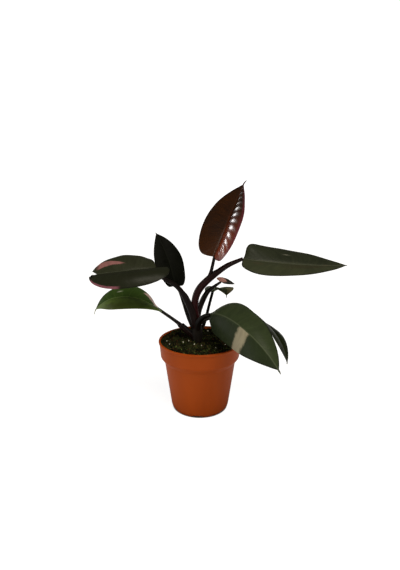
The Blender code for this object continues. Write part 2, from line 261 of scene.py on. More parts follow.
@dataclass(frozen=True)
class Splash:
    """One patch on a leaf: pink or cream tissue, another tone, or painted light or shade.

    u runs from 0, the petiole, to 1, the shoulders, and v from -1, the right
    margin, to 1, the left one. A splash is a box about (u, v) that slopes and
    flares as u grows, and ragged is how far its outline wanders.
    """

    colour: str
    u: float
    v: float
    half_u: float
    half_v: float
    slope: float = 0.0
    flare: float = 0.0
    ragged: float = 0.08
    soft: float = 0.03
    strength: float = 1.0

    def mask(self, tree: Tree, u: Node, v: Node) -> Node:
        """Adds the nodes that are 1 inside the splash and 0 outside it.

        Args:
            tree: the leaf skin's node tree.
            u: the wandering place along the blade.
            v: the wandering place across it.

        Returns:
            The node that holds the mask.
        """
        ahead = add_node(tree, MATH, {0: u, 1: self.u}, operation="SUBTRACT")
        middle = add_node(tree, MATH, {0: ahead, 1: self.slope, 2: self.v}, operation="MULTIPLY_ADD")
        half = add_node(tree, MATH, {0: ahead, 1: self.flare, 2: self.half_v}, operation="MULTIPLY_ADD")
        aside = add_node(tree, MATH, {0: v, 1: middle}, operation="SUBTRACT")
        beyond = []
        for away, reach in ((ahead, self.half_u), (aside, half)):
            away = add_node(tree, MATH, {0: away}, operation="ABSOLUTE")
            beyond.append(add_node(tree, MATH, {0: away, 1: reach}, operation="SUBTRACT"))
        outside = add_node(tree, MATH, dict(enumerate(beyond)), operation="MAXIMUM")
        return add_node(tree, RANGE, {"Value": outside, "From Min": -self.soft, "From Max": self.soft,
            "To Min": self.strength, "To Max": 0.0}, interpolation_type="SMOOTHSTEP")


@dataclass(frozen=True)
class LeafCuticle:
    """A leaf's waxed cuticle over dark, anthocyanin-tinted tissue.

    The wax gives a satin gloss that the lateral veins ripple. The tissue changes
    slowly from ground to shade, is feathered along the veins, is paler on the
    midrib, and has a thin dark margin. The underside is matt and redder. Patches lie
    over it: pink and cream tissue and, on some leaves, painted light and shade.
    """

    name: str
    ground: str
    shade: str
    vein: str
    midrib: str
    margin: str
    underside: str
    roughness: float = 0.34
    wax: float = 0.0
    gloss: float = 0.18
    vein_strength: float = 0.25
    grain: float = 0.3
    rim: float = 2.2  # millimetres across the dark margin
    splashes_and_painted_light: tuple[Splash, ...] = ()

    def build(self) -> Material:
        """Makes the material."""
        surface, tree, shader = new_surface(self.name, IOR=1.45, Coat_Weight=self.wax,
            Coat_Roughness=0.16, Specular_IOR_Level=self.gloss)
        solid = add_node(tree, "ShaderNodeTexCoord").outputs["Object"]
        stored = [add_node(tree, "ShaderNodeAttribute", attribute_name=label).outputs["Vector"]
            for label in ("leaf_place", "leaf_size")]
        place, size = (add_node(tree, "ShaderNodeSeparateXYZ", {"Vector": entry}) for entry in stored)
        under = add_node(tree, "ShaderNodeAttribute", attribute_name="underside").outputs["Fac"]
        u, v, phase = place.outputs
        # Clouds of tone about 24 mm across, and feathers that follow the veins.
        cloud = add_node(tree, NOISE, {"Vector": solid, "Scale": 1 / (24 * MM), "Detail": 4.0})
        feather_place = add_node(tree, "ShaderNodeCombineXYZ",
            {"X": add_node(tree, MATH, {0: phase, 1: 2.2}, operation="MULTIPLY"), "Y": v})
        feather = add_node(tree, NOISE, {"Vector": feather_place, "Scale": 1.3, "Detail": 5.0,
            "Roughness": 0.6})
        tone = add_node(tree, MATH, {0: cloud, 1: feather}, operation="ADD")
        share = add_node(tree, RANGE, {"Value": tone, "From Min": 0.78, "From Max": 1.22})
        # Lateral veins lie where the phase is a whole number.
        from_vein = add_node(tree, MATH, {0: phase, 1: 0.5}, operation="PINGPONG")
        on_vein = add_node(tree, RANGE, {"Value": from_vein, "From Max": 0.09, "To Min": 1.0,
            "To Max": 0.0}, interpolation_type="SMOOTHSTEP")
        across = add_node(tree, MATH, {0: v}, operation="ABSOLUTE")
        fading = add_node(tree, RANGE, {"Value": across, "From Min": 0.1, "From Max": 0.95,
            "To Min": self.vein_strength, "To Max": 0.0})
        veined = add_node(tree, MATH, {0: on_vein, 1: fading}, operation="MULTIPLY")
        below = add_node(tree, MATH, {0: under, 1: 0.82}, operation="MULTIPLY")
        on_margin = add_node(tree, RANGE, {"Value": size.outputs[2], "From Min": 0.3 * self.rim,
            "From Max": self.rim, "To Min": 0.85, "To Max": 0.0}, interpolation_type="SMOOTHSTEP")
        layers = [(share, self.shade), (veined, self.vein), (below, self.underside),
            (on_margin, self.margin)]
        # Patches show on both faces: variegated tissue, and the painted light and shade.
        wander = add_node(tree, NOISE, {"Vector": solid, "Scale": 1 / (9 * MM), "Detail": 5.0,
            "Roughness": 0.62})
        offset = add_node(tree, MATH, {0: wander, 1: 0.5}, operation="SUBTRACT")
        tint = add_node(tree, RANGE, {"Value": feather, "From Min": 0.3, "From Max": 0.7, "To Min": 1.0,
            "To Max": 0.72})
        for splash in self.splashes_and_painted_light:
            lost_u = add_node(tree, MATH, {0: offset, 1: splash.ragged, 2: u}, operation="MULTIPLY_ADD")
            lost_v = add_node(tree, MATH, {0: offset, 1: -2.5 * splash.ragged, 2: v},
                operation="MULTIPLY_ADD")
            mask = splash.mask(tree, lost_u, lost_v)
            layers.append((add_node(tree, MATH, {0: mask, 1: tint}, operation="MULTIPLY"), splash.colour))
        off_rib = add_node(tree, MATH, {0: size.outputs[0]}, operation="ABSOLUTE")
        on_rib = add_node(tree, RANGE, {"Value": off_rib, "From Min": 0.3, "From Max": 1.1,
            "To Min": 0.75, "To Max": 0.0}, interpolation_type="SMOOTHSTEP")
        colour: Any = linear(self.ground)
        for amount, over in layers + [(on_rib, self.midrib)]:
            colour = add_node(tree, MIX, {"Factor": amount, "A": colour, "B": linear(over)},
                data_type="RGBA")
        # The cells make a fine grain; real cells are near 0.05 mm, drawn here at 0.5 mm.
        cells = add_node(tree, "ShaderNodeTexVoronoi", {"Vector": solid, "Scale": 1 / (0.5 * MM)})
        sunk = add_node(tree, MATH, {0: on_vein, 1: -1.4, 2: cells.outputs["Distance"]},
            operation="MULTIPLY_ADD")
        relief = add_node(tree, MATH, {0: feather, 1: 1.2, 2: sunk}, operation="MULTIPLY_ADD")
        bump = add_node(tree, "ShaderNodeBump", {"Height": relief, "Strength": self.grain,
            "Distance": 0.12 * MM})
        gloss = add_node(tree, RANGE, {"Value": cloud, "From Min": 0.3, "From Max": 0.7,
            "To Min": self.roughness - 0.05, "To Max": self.roughness + 0.06})
        matt = add_node(tree, MATH, {0: under, 1: 0.14, 2: gloss}, operation="MULTIPLY_ADD")
        fill(tree, shader, {"Base Color": colour, "Roughness": matt, "Normal": bump})
        return surface


@dataclass(frozen=True)
class StudioPaper:
    """The matt pale paper that the pot stands on: even, with a barely seen fibre.

    It is lit from below as well, as a light table is, so its shadows stay faint.
    glow is how bright that looks, and bounce is how much of it reaches the plant.
    """

    name: str = "studio paper"
    colour: str = "a2a2a2"
    fibre: str = "9c9c9b"
    glow: float = 0.92
    bounce: float = 0.5
    covered: float = 40.0  # millimetres from the axis to the edge of the pot's foot

    def build(self) -> Material:
        """Makes the material."""
        surface, tree, shader = new_surface(self.name, Roughness=0.95, Specular_IOR_Level=0.0,
            Emission_Color=linear("ffffff"))
        seen = add_node(tree, "ShaderNodeLightPath").outputs["Is Camera Ray"]
        place = add_node(tree, "ShaderNodeTexCoord").outputs["Object"]
        # Painted shade for the pot's shadow on the paper: no glow where the pot stands, and little bounce
        # reaching the pot from close by.
        reach = add_node(tree, VECTOR_MATH, {0: place}, operation="LENGTH")
        glow = add_node(tree, RANGE, {"Value": reach.outputs["Value"], "From Min": self.covered * MM,
            "From Max": (self.covered + 1.5) * MM, "To Max": self.glow})
        bounce = add_node(tree, RANGE, {"Value": reach.outputs["Value"], "From Min": self.covered * MM,
            "From Max": 3 * self.covered * MM, "To Max": self.bounce})
        shown = add_node(tree, MIX, {"Factor": seen, "A": bounce, "B": glow}, data_type="FLOAT")
        fibre = add_node(tree, NOISE, {"Vector": place, "Scale": 1 / (2 * MM), "Detail": 3.0})
        colour = add_node(tree, MIX, {"Factor": fibre, "A": linear(self.colour), "B": linear(self.fibre)},
            data_type="RGBA")
        fill(tree, shader, {"Base Color": colour, "Emission Strength": shown})
        return surface


# --------------------------------------------------------------- mesh helpers

MERGED = 0.002  # millimetres between points that are one


def add_piece(name: str, mesh: Mesh, skin: Optional[Material] = None) -> Piece:
    """Puts a mesh in the scene as one smooth-shaded piece.

    Args:
        name: the piece's name.
        mesh: its mesh, in place.
        skin: its material, if the mesh has none yet.

    Returns:
        The new object.
    """
    piece = bpy.data.objects.new(name, mesh)
    bpy.context.collection.objects.link(piece)
    if skin:
        mesh.materials.clear()
        mesh.materials.append(skin)
    mesh.shade_smooth()
    return piece


def close_up(mesh: Mesh, crease: float = 50.0) -> None:
    """Merges a closed mesh's doubles, points its faces outwards and keeps its creases.

    Args:
        mesh: the closed mesh.
        crease: edges sharper than this many degrees stay sharp.
    """
    shape = bmesh.new()
    shape.from_mesh(mesh)
    bmesh.ops.remove_doubles(shape, verts=shape.verts, dist=MERGED * MM)
    bmesh.ops.recalc_face_normals(shape, faces=shape.faces)
    shape.to_mesh(mesh)
    shape.free()
    mesh.shade_smooth()
    mesh.set_sharp_from_angle(angle=math.radians(crease))


def declare(piece: Piece, slot: str, *nodes: str) -> None:
    """Ties a piece to the body and to the nodes that it stands for.

    Args:
        piece: the finished piece.
        slot: the record's material slot; not used.
        *nodes: the frame's nodes that it replaces, if any.
    """
    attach(piece, BODY)
    if nodes:
        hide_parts(*nodes)
    log.info("%s: %d faces, stands for %s", piece.name, len(piece.data.polygons),
        ", ".join(nodes) or "no node")


def grow(source: Mesh, tree: Tree, inputs: dict[str, Any], name: str) -> Mesh:
    """Runs a Geometry Nodes tree on a mesh and keeps the result as a plain mesh.

    Args:
        source: the mesh that the tree reads.
        tree: the tree, with named inputs.
        inputs: values for the named inputs.
        name: the new mesh's name.

    Returns:
        The tree's result.
    """
    carrier = bpy.data.objects.new(name + "_source", source)
    bpy.context.collection.objects.link(carrier)
    modifier = carrier.modifiers.new("tree", "NODES")
    modifier.node_group = tree
    for entry in tree.interface.items_tree:
        if entry.item_type == "SOCKET" and entry.in_out == "INPUT" and entry.name in inputs:
            modifier[entry.identifier] = inputs[entry.name]
    graph = bpy.context.evaluated_depsgraph_get()
    result = bpy.data.meshes.new_from_object(carrier.evaluated_get(graph), depsgraph=graph)
    result.name = name
    carrier.modifiers.remove(modifier)
    bpy.data.objects.remove(carrier, do_unlink=True)
    return result


def new_tree(name: str, sockets: Sequence[tuple[str, str, Any]]) -> tuple[Tree, Node]:
    """Starts a Geometry Nodes tree that takes and gives geometry.

    Args:
        name: the tree's name.
        sockets: name, socket type and default of each further input.

    Returns:
        The tree and its input node.
    """
    tree = bpy.data.node_groups.new(name, "GeometryNodeTree")
    tree.interface.new_socket("Geometry", in_out="INPUT", socket_type="NodeSocketGeometry")
    tree.interface.new_socket("Geometry", in_out="OUTPUT", socket_type="NodeSocketGeometry")
    for label, kind, default in sockets:
        socket = tree.interface.new_socket(label, in_out="INPUT", socket_type=kind)
        if default is not None:
            socket.default_value = default
    return tree, add_node(tree, "NodeGroupInput")


def rounded(corners: Sequence[tuple[float, float, float]], steps: int = 5) -> list[tuple[float, float]]:
    """Rounds the corners of an outline.

    Args:
        corners: (radius, height, rounding) of each corner, in millimetres.
        steps: points in each rounding.

    Returns:
        The outline's (radius, height) points.
    """
    outline = []
    for index, (radius, height, rounding) in enumerate(corners):
        here = Vector((radius, height))
        if rounding == 0:
            outline.append((radius, height))
            continue
        back = Vector(corners[index - 1][:2]) - here
        ahead = Vector(corners[index + 1][:2]) - here
        start = here + back.normalized() * min(rounding, 0.48 * back.length)
        end = here + ahead.normalized() * min(rounding, 0.48 * ahead.length)
        for step in range(steps + 1):
            t = step / steps
            point = start * (1 - t) ** 2 + here * (2 * t * (1 - t)) + end * t ** 2
            outline.append((point.x, point.y))
    return outline


def turned(outline: Sequence[tuple[float, float]], sides: int, name: str) -> Mesh:
    """Turns an outline about the Z axis; both of its ends lie on the axis.

    Args:
        outline: (radius, height) points in millimetres.
        sides: faces round the axis.
        name: the mesh's name.

    Returns:
        The closed mesh.
    """
    shape = bmesh.new()
    corners = [shape.verts.new((radius * MM, 0, height * MM)) for radius, height in outline]
    edges = [shape.edges.new(pair) for pair in zip(corners, corners[1:])]
    bmesh.ops.spin(shape, geom=corners + edges, cent=(0, 0, 0), axis=(0, 0, 1), angle=math.tau,
        steps=sides, use_duplicate=False)
    mesh = bpy.data.meshes.new(name)
    shape.to_mesh(mesh)
    shape.free()
    close_up(mesh)
    return mesh


# ------------------------------------------------------------------------ pot


@dataclass(frozen=True)
class Pot:
    """A 12 cm nursery pot with a stepped collar, drains and foot notches."""

    height: float = 103.0
    rim_radius: float = 60.0
    lip_height: float = 3.0
    collar_top_radius: float = 58.8
    collar_foot_radius: float = 57.2
    collar_foot_z: float = 80.0
    body_top_radius: float = 51.6
    body_top_z: float = 72.5
    body_foot_radius: float = 42.2
    foot_radius: float = 39.2
    wall: float = 1.7
    floor: float = 2.0
    groove_inner_radius: float = 29.0
    groove_outer_radius: float = 37.0
    groove_depth: float = 3.0
    drain_count: int = 6
    drain_radius: float = 3.0
    notch_width: float = 16.0
    notch_height: float = 3.4
    notch_first_angle: float = -95.0
    sides: int = 160

    def outline(self) -> list[tuple[float, float]]:
        """The wall's outline, up the outside and down the inside, with moulded radii."""
        lip_foot = self.height - self.lip_height
        floor_top = self.groove_depth + self.floor
        outside = [
            (0, 0, 0), (self.groove_inner_radius, 0, 0.6),
            (self.groove_inner_radius + 1, self.groove_depth, 0.6),
            (self.groove_outer_radius - 1, self.groove_depth, 0.6), (self.groove_outer_radius, 0, 0.6),
            (self.foot_radius + 0.6, 0, 2.6), (self.body_foot_radius, 4.2, 3.0),
            (self.body_top_radius, self.body_top_z, 1.6),
            (self.collar_foot_radius, self.collar_foot_z, 1.4),
            (self.collar_top_radius, lip_foot - 0.5, 0.6), (self.rim_radius, lip_foot + 0.3, 0.5),
            (self.rim_radius, self.height, 1.1)]
        inside = [
            (self.collar_top_radius - self.wall, self.height, 0.8),
            (self.collar_foot_radius - self.wall, self.collar_foot_z + 1, 1.4),
            (self.body_top_radius - self.wall, self.body_top_z + 1, 1.4),
            (self.body_foot_radius - self.wall, floor_top, 2.5),
            (self.groove_inner_radius, floor_top, 0.8), (self.groove_inner_radius - 1, self.floor, 0.8),
            (0, self.floor, 0)]
        return rounded(outside + inside)

    def openings_tree(self) -> Tree:
        """The tree that repeats one drain and one foot notch round the pot and cuts them out."""
        tree, given = new_tree("pot openings", [("Count", "NodeSocketInt", self.drain_count),
            ("Drain radius", "NodeSocketFloat", 0.003), ("Drain circle", "NodeSocketFloat", 0.033),
            ("Notch size", "NodeSocketVector", (0, 0, 0)), ("Notch circle", "NodeSocketFloat", 0.043),
            ("First angle", "NodeSocketFloat", 0.0), ("Plastic", "NodeSocketMaterial", None)])
        drain = add_node(tree, "GeometryNodeMeshCylinder",
            {"Vertices": 24, "Radius": given.outputs["Drain radius"], "Depth": 12 * MM})
        notch = add_node(tree, "GeometryNodeMeshCube", {"Size": given.outputs["Notch size"]})
        cutters = []
        for cutter, circle, turn in ((drain, "Drain circle", math.pi / self.drain_count),
                (notch, "Notch circle", 0.0)):
            ring = add_node(tree, "GeometryNodeMeshCircle", {"Vertices": given.outputs["Count"],
                "Radius": given.outputs[circle]})
            angle = add_node(tree, MATH, {0: given.outputs["First angle"], 1: turn}, operation="ADD")
            facing = add_node(tree, "ShaderNodeCombineXYZ", {"Z": angle})
            set_out = add_node(tree, "GeometryNodeTransform", {"Geometry": ring, "Rotation": facing})
            outward = add_node(tree, "FunctionNodeAlignRotationToVector",
                {"Vector": add_node(tree, POSITION)}, axis="X", pivot_axis="Z")
            cutters.append(add_node(tree, "GeometryNodeInstanceOnPoints",
                {"Points": set_out, "Instance": cutter.outputs["Mesh"], "Rotation": outward}))
        together = add_node(tree, "GeometryNodeJoinGeometry")
        for cutter in cutters:
            fill(tree, together, {0: cutter})
        real = add_node(tree, "GeometryNodeRealizeInstances", {"Geometry": together})
        cut = add_node(tree, "GeometryNodeMeshBoolean", {"Mesh 1": given.outputs["Geometry"],
            "Mesh 2": real}, operation="DIFFERENCE", solver="EXACT")
        whole = add_node(tree, "GeometryNodeRealizeInstances", {"Geometry": cut.outputs["Mesh"]})
        dressed = add_node(tree, "GeometryNodeSetMaterial",
            {"Geometry": whole, "Material": given.outputs["Plastic"]})
        add_node(tree, "NodeGroupOutput", {"Geometry": dressed})
        return tree

    def build(self) -> None:
        """Makes the pot and dresses it."""
        plastic = MouldedPolypropylene().build()
        openings = {"Count": self.drain_count, "Drain radius": self.drain_radius * MM,
            "Drain circle": (self.groove_inner_radius + self.groove_outer_radius) / 2 * MM,
            "Notch size": (14 * MM, self.notch_width * MM, 2 * self.notch_height * MM),
            "Notch circle": (self.body_foot_radius + 1.5) * MM,
            "First angle": math.radians(self.notch_first_angle), "Plastic": plastic}
        shell = turned(self.outline(), self.sides, "pot_shell")
        mesh = grow(shell, self.openings_tree(), openings, "pot_shell")
        close_up(mesh, 42)
        declare(add_piece("pot_shell", mesh, plastic), "pot_plastic", "pot")


# ----------------------------------------------------------------------- soil


@dataclass(frozen=True)
class Scatter:
    """One kind of loose grain strewn over the soil: how dense, how big, how long."""

    name: str
    finish: LooseGround
    density: float  # grains for each square metre
    smallest: float
    largest: float
    stretch: tuple[float, float, float]
    seed: int
    weight: str = ""  # the soil's attribute that thins the grains out


@dataclass(frozen=True)
class Soil:
    """The peat ball: a crumbly top, perlite, bark and a film of moss."""

    level: float = 99.5
    edge_radius: float = 57.2
    foot_radius: float = 39.5
    foot_z: float = 5.2
    rings: int = 44
    sides: int = 150
    lumps: tuple[Point, ...] = ((17.0, 1.0, 1.5), (8.0, 2.2, 7.5), (2.6, 0.6, 3.5))  # width, height, layer
    hump: float = 1.6  # how far the middle stands up
    clump: Point = (-30.0, 44.0, 1.6)  # place and height of a clump of old roots
    heap: float = 3.0  # how far the soil is pushed up the wall on the left
    hidden_rim: float = 2.2  # millimetres by the wall that no grain lies on
    grain_forms: int = 4
    scatters: tuple[Scatter, ...] = (
        Scatter("peat_crumbs", LooseGround("damp peat", ("070705", "1a1c0d", "3d4020"), 7.0, 0.85),
                52000, 2.4, 6.2, (1.0, 0.8, 0.65), 3),
        Scatter("bark_chips", LooseGround("composted bark", ("120b06", "2a1a0e", "4a3019"), 4.0, 0.8),
                16000, 2.2, 4.4, (1.7, 0.8, 0.45), 11),
        Scatter("peat_fibres", LooseGround("peat fibre", ("1c160a", "4a4020", "7a7044"), 9.0, 0.9),
                16000, 1.4, 2.8, (4.0, 0.22, 0.2), 23),
        Scatter("moss_film", LooseGround("pot moss", ("10160a", "38441e", "707a44"), 4.0, 0.95),
                90000, 1.4, 3.6, (1.3, 0.7, 0.5), 31, "moss"),
    )
    perlite_rise: float = 2.4  # the grains lie on the crumbs
    perlite: tuple[Point, ...] = (
        (-24, -9, 1.0), (-8, -16, 0.95), (2, -22, 0.8), (-16, -6, 0.7), (-48, -5, 0.9), (-43, -18, 0.8),
        (22, -30, 0.8), (36, -14, 0.9), (12, 40, 1.2), (44, 18, 1.2), (-20, 36, 1.0), (-2, 50, 1.1))

    def surface_height(self, x: float, y: float) -> float:
        """The top's height.

        Args:
            x: millimetres to the right of the axis.
            y: millimetres behind it.

        Returns:
            The height in millimetres.
        """
        lumps = [height * noise.noise(Vector((x / width, y / width, layer)))
            for width, height, layer in self.lumps]
        hump = self.hump * math.exp(-((x + 3) ** 2 + y ** 2) / 420)
        clump_x, clump_y, clump_height = self.clump
        clump = clump_height * math.exp(-((x - clump_x) ** 2 + (y - clump_y) ** 2) / 90)
        at_edge = (math.hypot(x, y) / self.edge_radius) ** 5
        heap = self.heap * at_edge * max(-x / self.edge_radius, 0)
        return self.level + sum(lumps) + hump + clump + heap

    def bed(self) -> Mesh:
        """The whole root ball as one closed mesh."""
        outline = [(self.edge_radius * ring / self.rings, self.level) for ring in range(self.rings + 1)]
        outline += [(55.4, 81), (49.9, 73.5), (self.foot_radius + 0.8, self.foot_z + 2),
            (self.foot_radius - 1, self.foot_z), (29, self.foot_z), (27.8, 2.3), (0, 2.3)]
        mesh = turned(outline, self.sides, "soil_bed")
        for corner in mesh.vertices:
            x, y, z = (value / MM for value in corner.co)
            if z > self.level - 0.5:
                corner.co.z = self.surface_height(x, y) * MM
        return mesh

    def top(self) -> Mesh:
        """The part of the top that grains are strewn on, with a "moss" weight."""
        count = 60
        reach = self.edge_radius - self.hidden_rim
        shape = bmesh.new()
        weight = shape.verts.layers.float.new("moss")
        bmesh.ops.create_grid(shape, x_segments=count, y_segments=count, size=reach * MM)
        outside = [corner for corner in shape.verts if corner.co.xy.length > reach * MM]
        bmesh.ops.delete(shape, geom=outside, context="VERTS")
        for corner in shape.verts:
            x, y = corner.co.x / MM, corner.co.y / MM
            corner.co.z = self.surface_height(x, y) * MM
            patch = noise.noise(Vector((x / 9, y / 9, 4))) + 0.008 * (x - y) + 0.12
            corner[weight] = min(max(2.2 * patch, 0), 1)
        mesh = bpy.data.meshes.new("soil_top")
        shape.to_mesh(mesh)
        shape.free()
        return mesh

    def grain_tree(self, weighted: bool) -> Tree:
        """The tree that strews lumpy grains over the top.

        Args:
            weighted: whether the "moss" weight thins the grains out.

        Returns:
            The tree.
        """
        tree, given = new_tree("grains", [("Density", "NodeSocketFloat", 1000.0),
            ("Smallest", "NodeSocketFloat", 0.001), ("Largest", "NodeSocketFloat", 0.002),
            ("Stretch", "NodeSocketVector", (1, 1, 1)), ("Seed", "NodeSocketInt", 0),
            ("Ground", "NodeSocketMaterial", None)])
        density: Any = given.outputs["Density"]
        if weighted:
            weight = add_node(tree, STORED, {"Name": "moss"}, data_type="FLOAT")
            density = add_node(tree, MATH, {0: density, 1: weight}, operation="MULTIPLY")
        strewn = add_node(tree, "GeometryNodeDistributePointsOnFaces", {"Mesh": given.outputs["Geometry"],
            "Density": density, "Seed": given.outputs["Seed"]})
        lumps = add_node(tree, "GeometryNodeJoinGeometry")
        for form in range(self.grain_forms):
            ball = add_node(tree, "GeometryNodeMeshIcoSphere", {"Radius": 0.5, "Subdivisions": 2})
            place = add_node(tree, POSITION)
            moved = add_node(tree, VECTOR_MATH, {0: place, 1: (5.0 * form, 2.0, 1.0)}, operation="ADD")
            rough = add_node(tree, NOISE, {"Vector": moved, "Scale": 1.6, "Detail": 2.0})
            swell = add_node(tree, RANGE, {"Value": rough, "From Min": 0.3, "From Max": 0.7,
                "To Min": -0.45, "To Max": 0.4})
            shift = add_node(tree, VECTOR_MATH, {0: place, "Scale": swell}, operation="SCALE")
            lump = add_node(tree, "GeometryNodeSetPosition", {"Geometry": ball, "Offset": shift})
            fill(tree, lumps, {0: add_node(tree, "GeometryNodeGeometryToInstance", {"Geometry": lump})})
        turn = add_node(tree, "FunctionNodeRandomValue", {0: (0, 0, 0), 1: (0.9, 0.9, math.tau),
            "Seed": given.outputs["Seed"]}, data_type="FLOAT_VECTOR")
        facing = add_node(tree, "FunctionNodeEulerToRotation", {"Euler": turn})
        girth = add_node(tree, "FunctionNodeRandomValue", {"Min": given.outputs["Smallest"],
            "Max": given.outputs["Largest"], "ID": add_node(tree, "GeometryNodeInputIndex"), "Seed": 7},
            data_type="FLOAT")
        scale = add_node(tree, VECTOR_MATH, {0: given.outputs["Stretch"], "Scale": girth},
            operation="SCALE")
        grains = add_node(tree, "GeometryNodeInstanceOnPoints", {"Points": strewn.outputs["Points"],
            "Instance": lumps, "Pick Instance": True, "Rotation": facing, "Scale": scale})
        real = add_node(tree, "GeometryNodeRealizeInstances", {"Geometry": grains})
        dressed = add_node(tree, "GeometryNodeSetMaterial",
            {"Geometry": real, "Material": given.outputs["Ground"]})
        add_node(tree, "NodeGroupOutput", {"Geometry": dressed})
        return tree

    def perlite_grains(self) -> Mesh:
        """The white perlite, each grain a lump of its own on the soil's top."""
        shape = bmesh.new()
        for index, (x, y, radius) in enumerate(self.perlite):
            ball = bmesh.ops.create_icosphere(shape, subdivisions=3, radius=radius * MM)["verts"]
            centre = Vector((x, y, self.surface_height(x, y) + self.perlite_rise)) * MM
            for corner in ball:
                swell = 1 + 0.5 * noise.noise(corner.co / (1.1 * radius * MM) + Vector((9 * index, 0, 0)))
                corner.co = corner.co * swell + centre
        mesh = bpy.data.meshes.new("perlite")
        shape.to_mesh(mesh)
        shape.free()
        return mesh

    def build(self) -> None:
        """Makes the root ball and everything loose on it."""
        peat = self.scatters[0].finish.build()
        declare(add_piece("soil_bed", self.bed(), peat), "peat_soil", "soil")
        for scatter in self.scatters:
            ground = peat if scatter is self.scatters[0] else scatter.finish.build()
            mesh = grow(self.top(), self.grain_tree(scatter.weight != ""), {"Density": scatter.density,
                "Smallest": scatter.smallest * MM, "Largest": scatter.largest * MM,
                "Stretch": scatter.stretch, "Seed": scatter.seed, "Ground": ground}, scatter.name)
            declare(add_piece(scatter.name, mesh, ground), "peat_soil")
        white = LooseGround("perlite", ("8f8c80", "c9c6ba", "e6e4da"), 1.5, 0.9, 0.2).build()
        declare(add_piece("perlite", self.perlite_grains(), white), "peat_soil")


# --------------------------------------------------------------------- stalks


class StalkTree:
    """The Geometry Nodes tree that sweeps a petiole or the stem along its route.

    The route's points carry "girth", the radius there, "inner", the direction of
    the side that faces the shoot, "channel", how deep that side is hollowed, and
    "wing", how far the sheath's edges stand up beside the hollow.
    """

    def __init__(self) -> None:
        """Builds the tree."""
        tree, given = new_tree("stalk sweep", [("Rings", "NodeSocketInt", 40),
            ("Sides", "NodeSocketInt", 32), ("Skin", "NodeSocketMaterial", None)])
        self.tree = tree
        chain = add_node(tree, "GeometryNodeMeshToCurve", {"Mesh": given.outputs["Geometry"]})
        smooth = add_node(tree, "GeometryNodeCurveSplineType", {"Curve": chain},
            spline_type="CATMULL_ROM")
        even = add_node(tree, "GeometryNodeResampleCurve",
            {"Curve": smooth, "Count": given.outputs["Rings"]})
        inner = add_node(tree, STORED, {"Name": "inner"}, data_type="FLOAT_VECTOR")
        turned_curve = add_node(tree, "GeometryNodeSetCurveNormal", {"Curve": even, "Normal": inner},
            mode="FREE")
        route_place = add_node(tree, "GeometryNodeSplineParameter")
        route = self.captured(turned_curve, {"Centre": ("VECTOR", add_node(tree, POSITION)),
            "Along": ("FLOAT", route_place.outputs["Factor"]),
            "Length": ("FLOAT", route_place.outputs["Length"])})
        ring = add_node(tree, "GeometryNodeCurvePrimitiveCircle", {"Resolution": given.outputs["Sides"],
            "Radius": 1.0})
        round_place = add_node(tree, "GeometryNodeSplineParameter")
        profile = self.captured(ring, {"Around": ("FLOAT", round_place.outputs["Factor"])})
        girth = add_node(tree, STORED, {"Name": "girth"}, data_type="FLOAT")
        swept = add_node(tree, "GeometryNodeCurveToMesh", {"Curve": route.outputs[0],
            "Profile Curve": profile.outputs[0], "Scale": girth, "Fill Caps": True})
        # Round the profile, 0 and 1 are the middle of the inner side.
        off_inner = add_node(tree, MATH, {0: profile.outputs["Around"], 1: 0.5}, operation="PINGPONG")
        hollow = add_node(tree, RANGE, {"Value": off_inner, "From Min": 0.02, "From Max": 0.14,
            "To Min": 1.0, "To Max": 0.0}, interpolation_type="SMOOTHSTEP")
        rim_gap = add_node(tree, MATH, {0: off_inner, 1: 0.15}, operation="SUBTRACT")
        rim = add_node(tree, RANGE, {"Value": add_node(tree, MATH, {0: rim_gap}, operation="ABSOLUTE"),
            "From Max": 0.07, "To Min": 1.0, "To Max": 0.0}, interpolation_type="SMOOTHSTEP")
        factor: Any = 0.0
        for shape, name, sign in ((hollow, "channel", -1.0), (rim, "wing", 1.0)):
            amount = add_node(tree, STORED, {"Name": name}, data_type="FLOAT")
            part = add_node(tree, MATH, {0: shape, 1: amount}, operation="MULTIPLY")
            factor = add_node(tree, MATH, {0: part, 1: sign, 2: factor}, operation="MULTIPLY_ADD")
        from_centre = add_node(tree, VECTOR_MATH, {0: add_node(tree, POSITION),
            1: route.outputs["Centre"]}, operation="SUBTRACT")
        shift = add_node(tree, VECTOR_MATH, {0: from_centre, "Scale": factor}, operation="SCALE")
        shaped = add_node(tree, "GeometryNodeSetPosition", {"Geometry": swept, "Offset": shift})
        length = add_node(tree, MATH, {0: route.outputs["Length"], 1: 1 / MM}, operation="MULTIPLY")
        place = add_node(tree, "ShaderNodeCombineXYZ", {"X": route.outputs["Along"],
            "Y": profile.outputs["Around"], "Z": length})
        marked = add_node(tree, "GeometryNodeStoreNamedAttribute",
            {"Geometry": shaped, "Name": "stalk_place", "Value": place}, data_type="FLOAT_VECTOR")
        real = add_node(tree, "GeometryNodeRealizeInstances", {"Geometry": marked})
        dressed = add_node(tree, "GeometryNodeSetMaterial",
            {"Geometry": real, "Material": given.outputs["Skin"]})
        add_node(tree, "NodeGroupOutput", {"Geometry": dressed})

    def captured(self, geometry: Node, fields: dict[str, tuple[str, Any]]) -> Node:
        """Adds a node that keeps fields of a curve for use after the sweep.

        Args:
            geometry: the node that gives the curve.
            fields: name to socket type and value of each field.

        Returns:
            The capture node, with one output for each name.
        """
        node = add_node(self.tree, "GeometryNodeCaptureAttribute", {0: geometry}, domain="POINT")
        for label, (kind, _) in fields.items():
            node.capture_items.new(kind, label)
        fill(self.tree, node, {label: value for label, (_, value) in fields.items()})
        return node


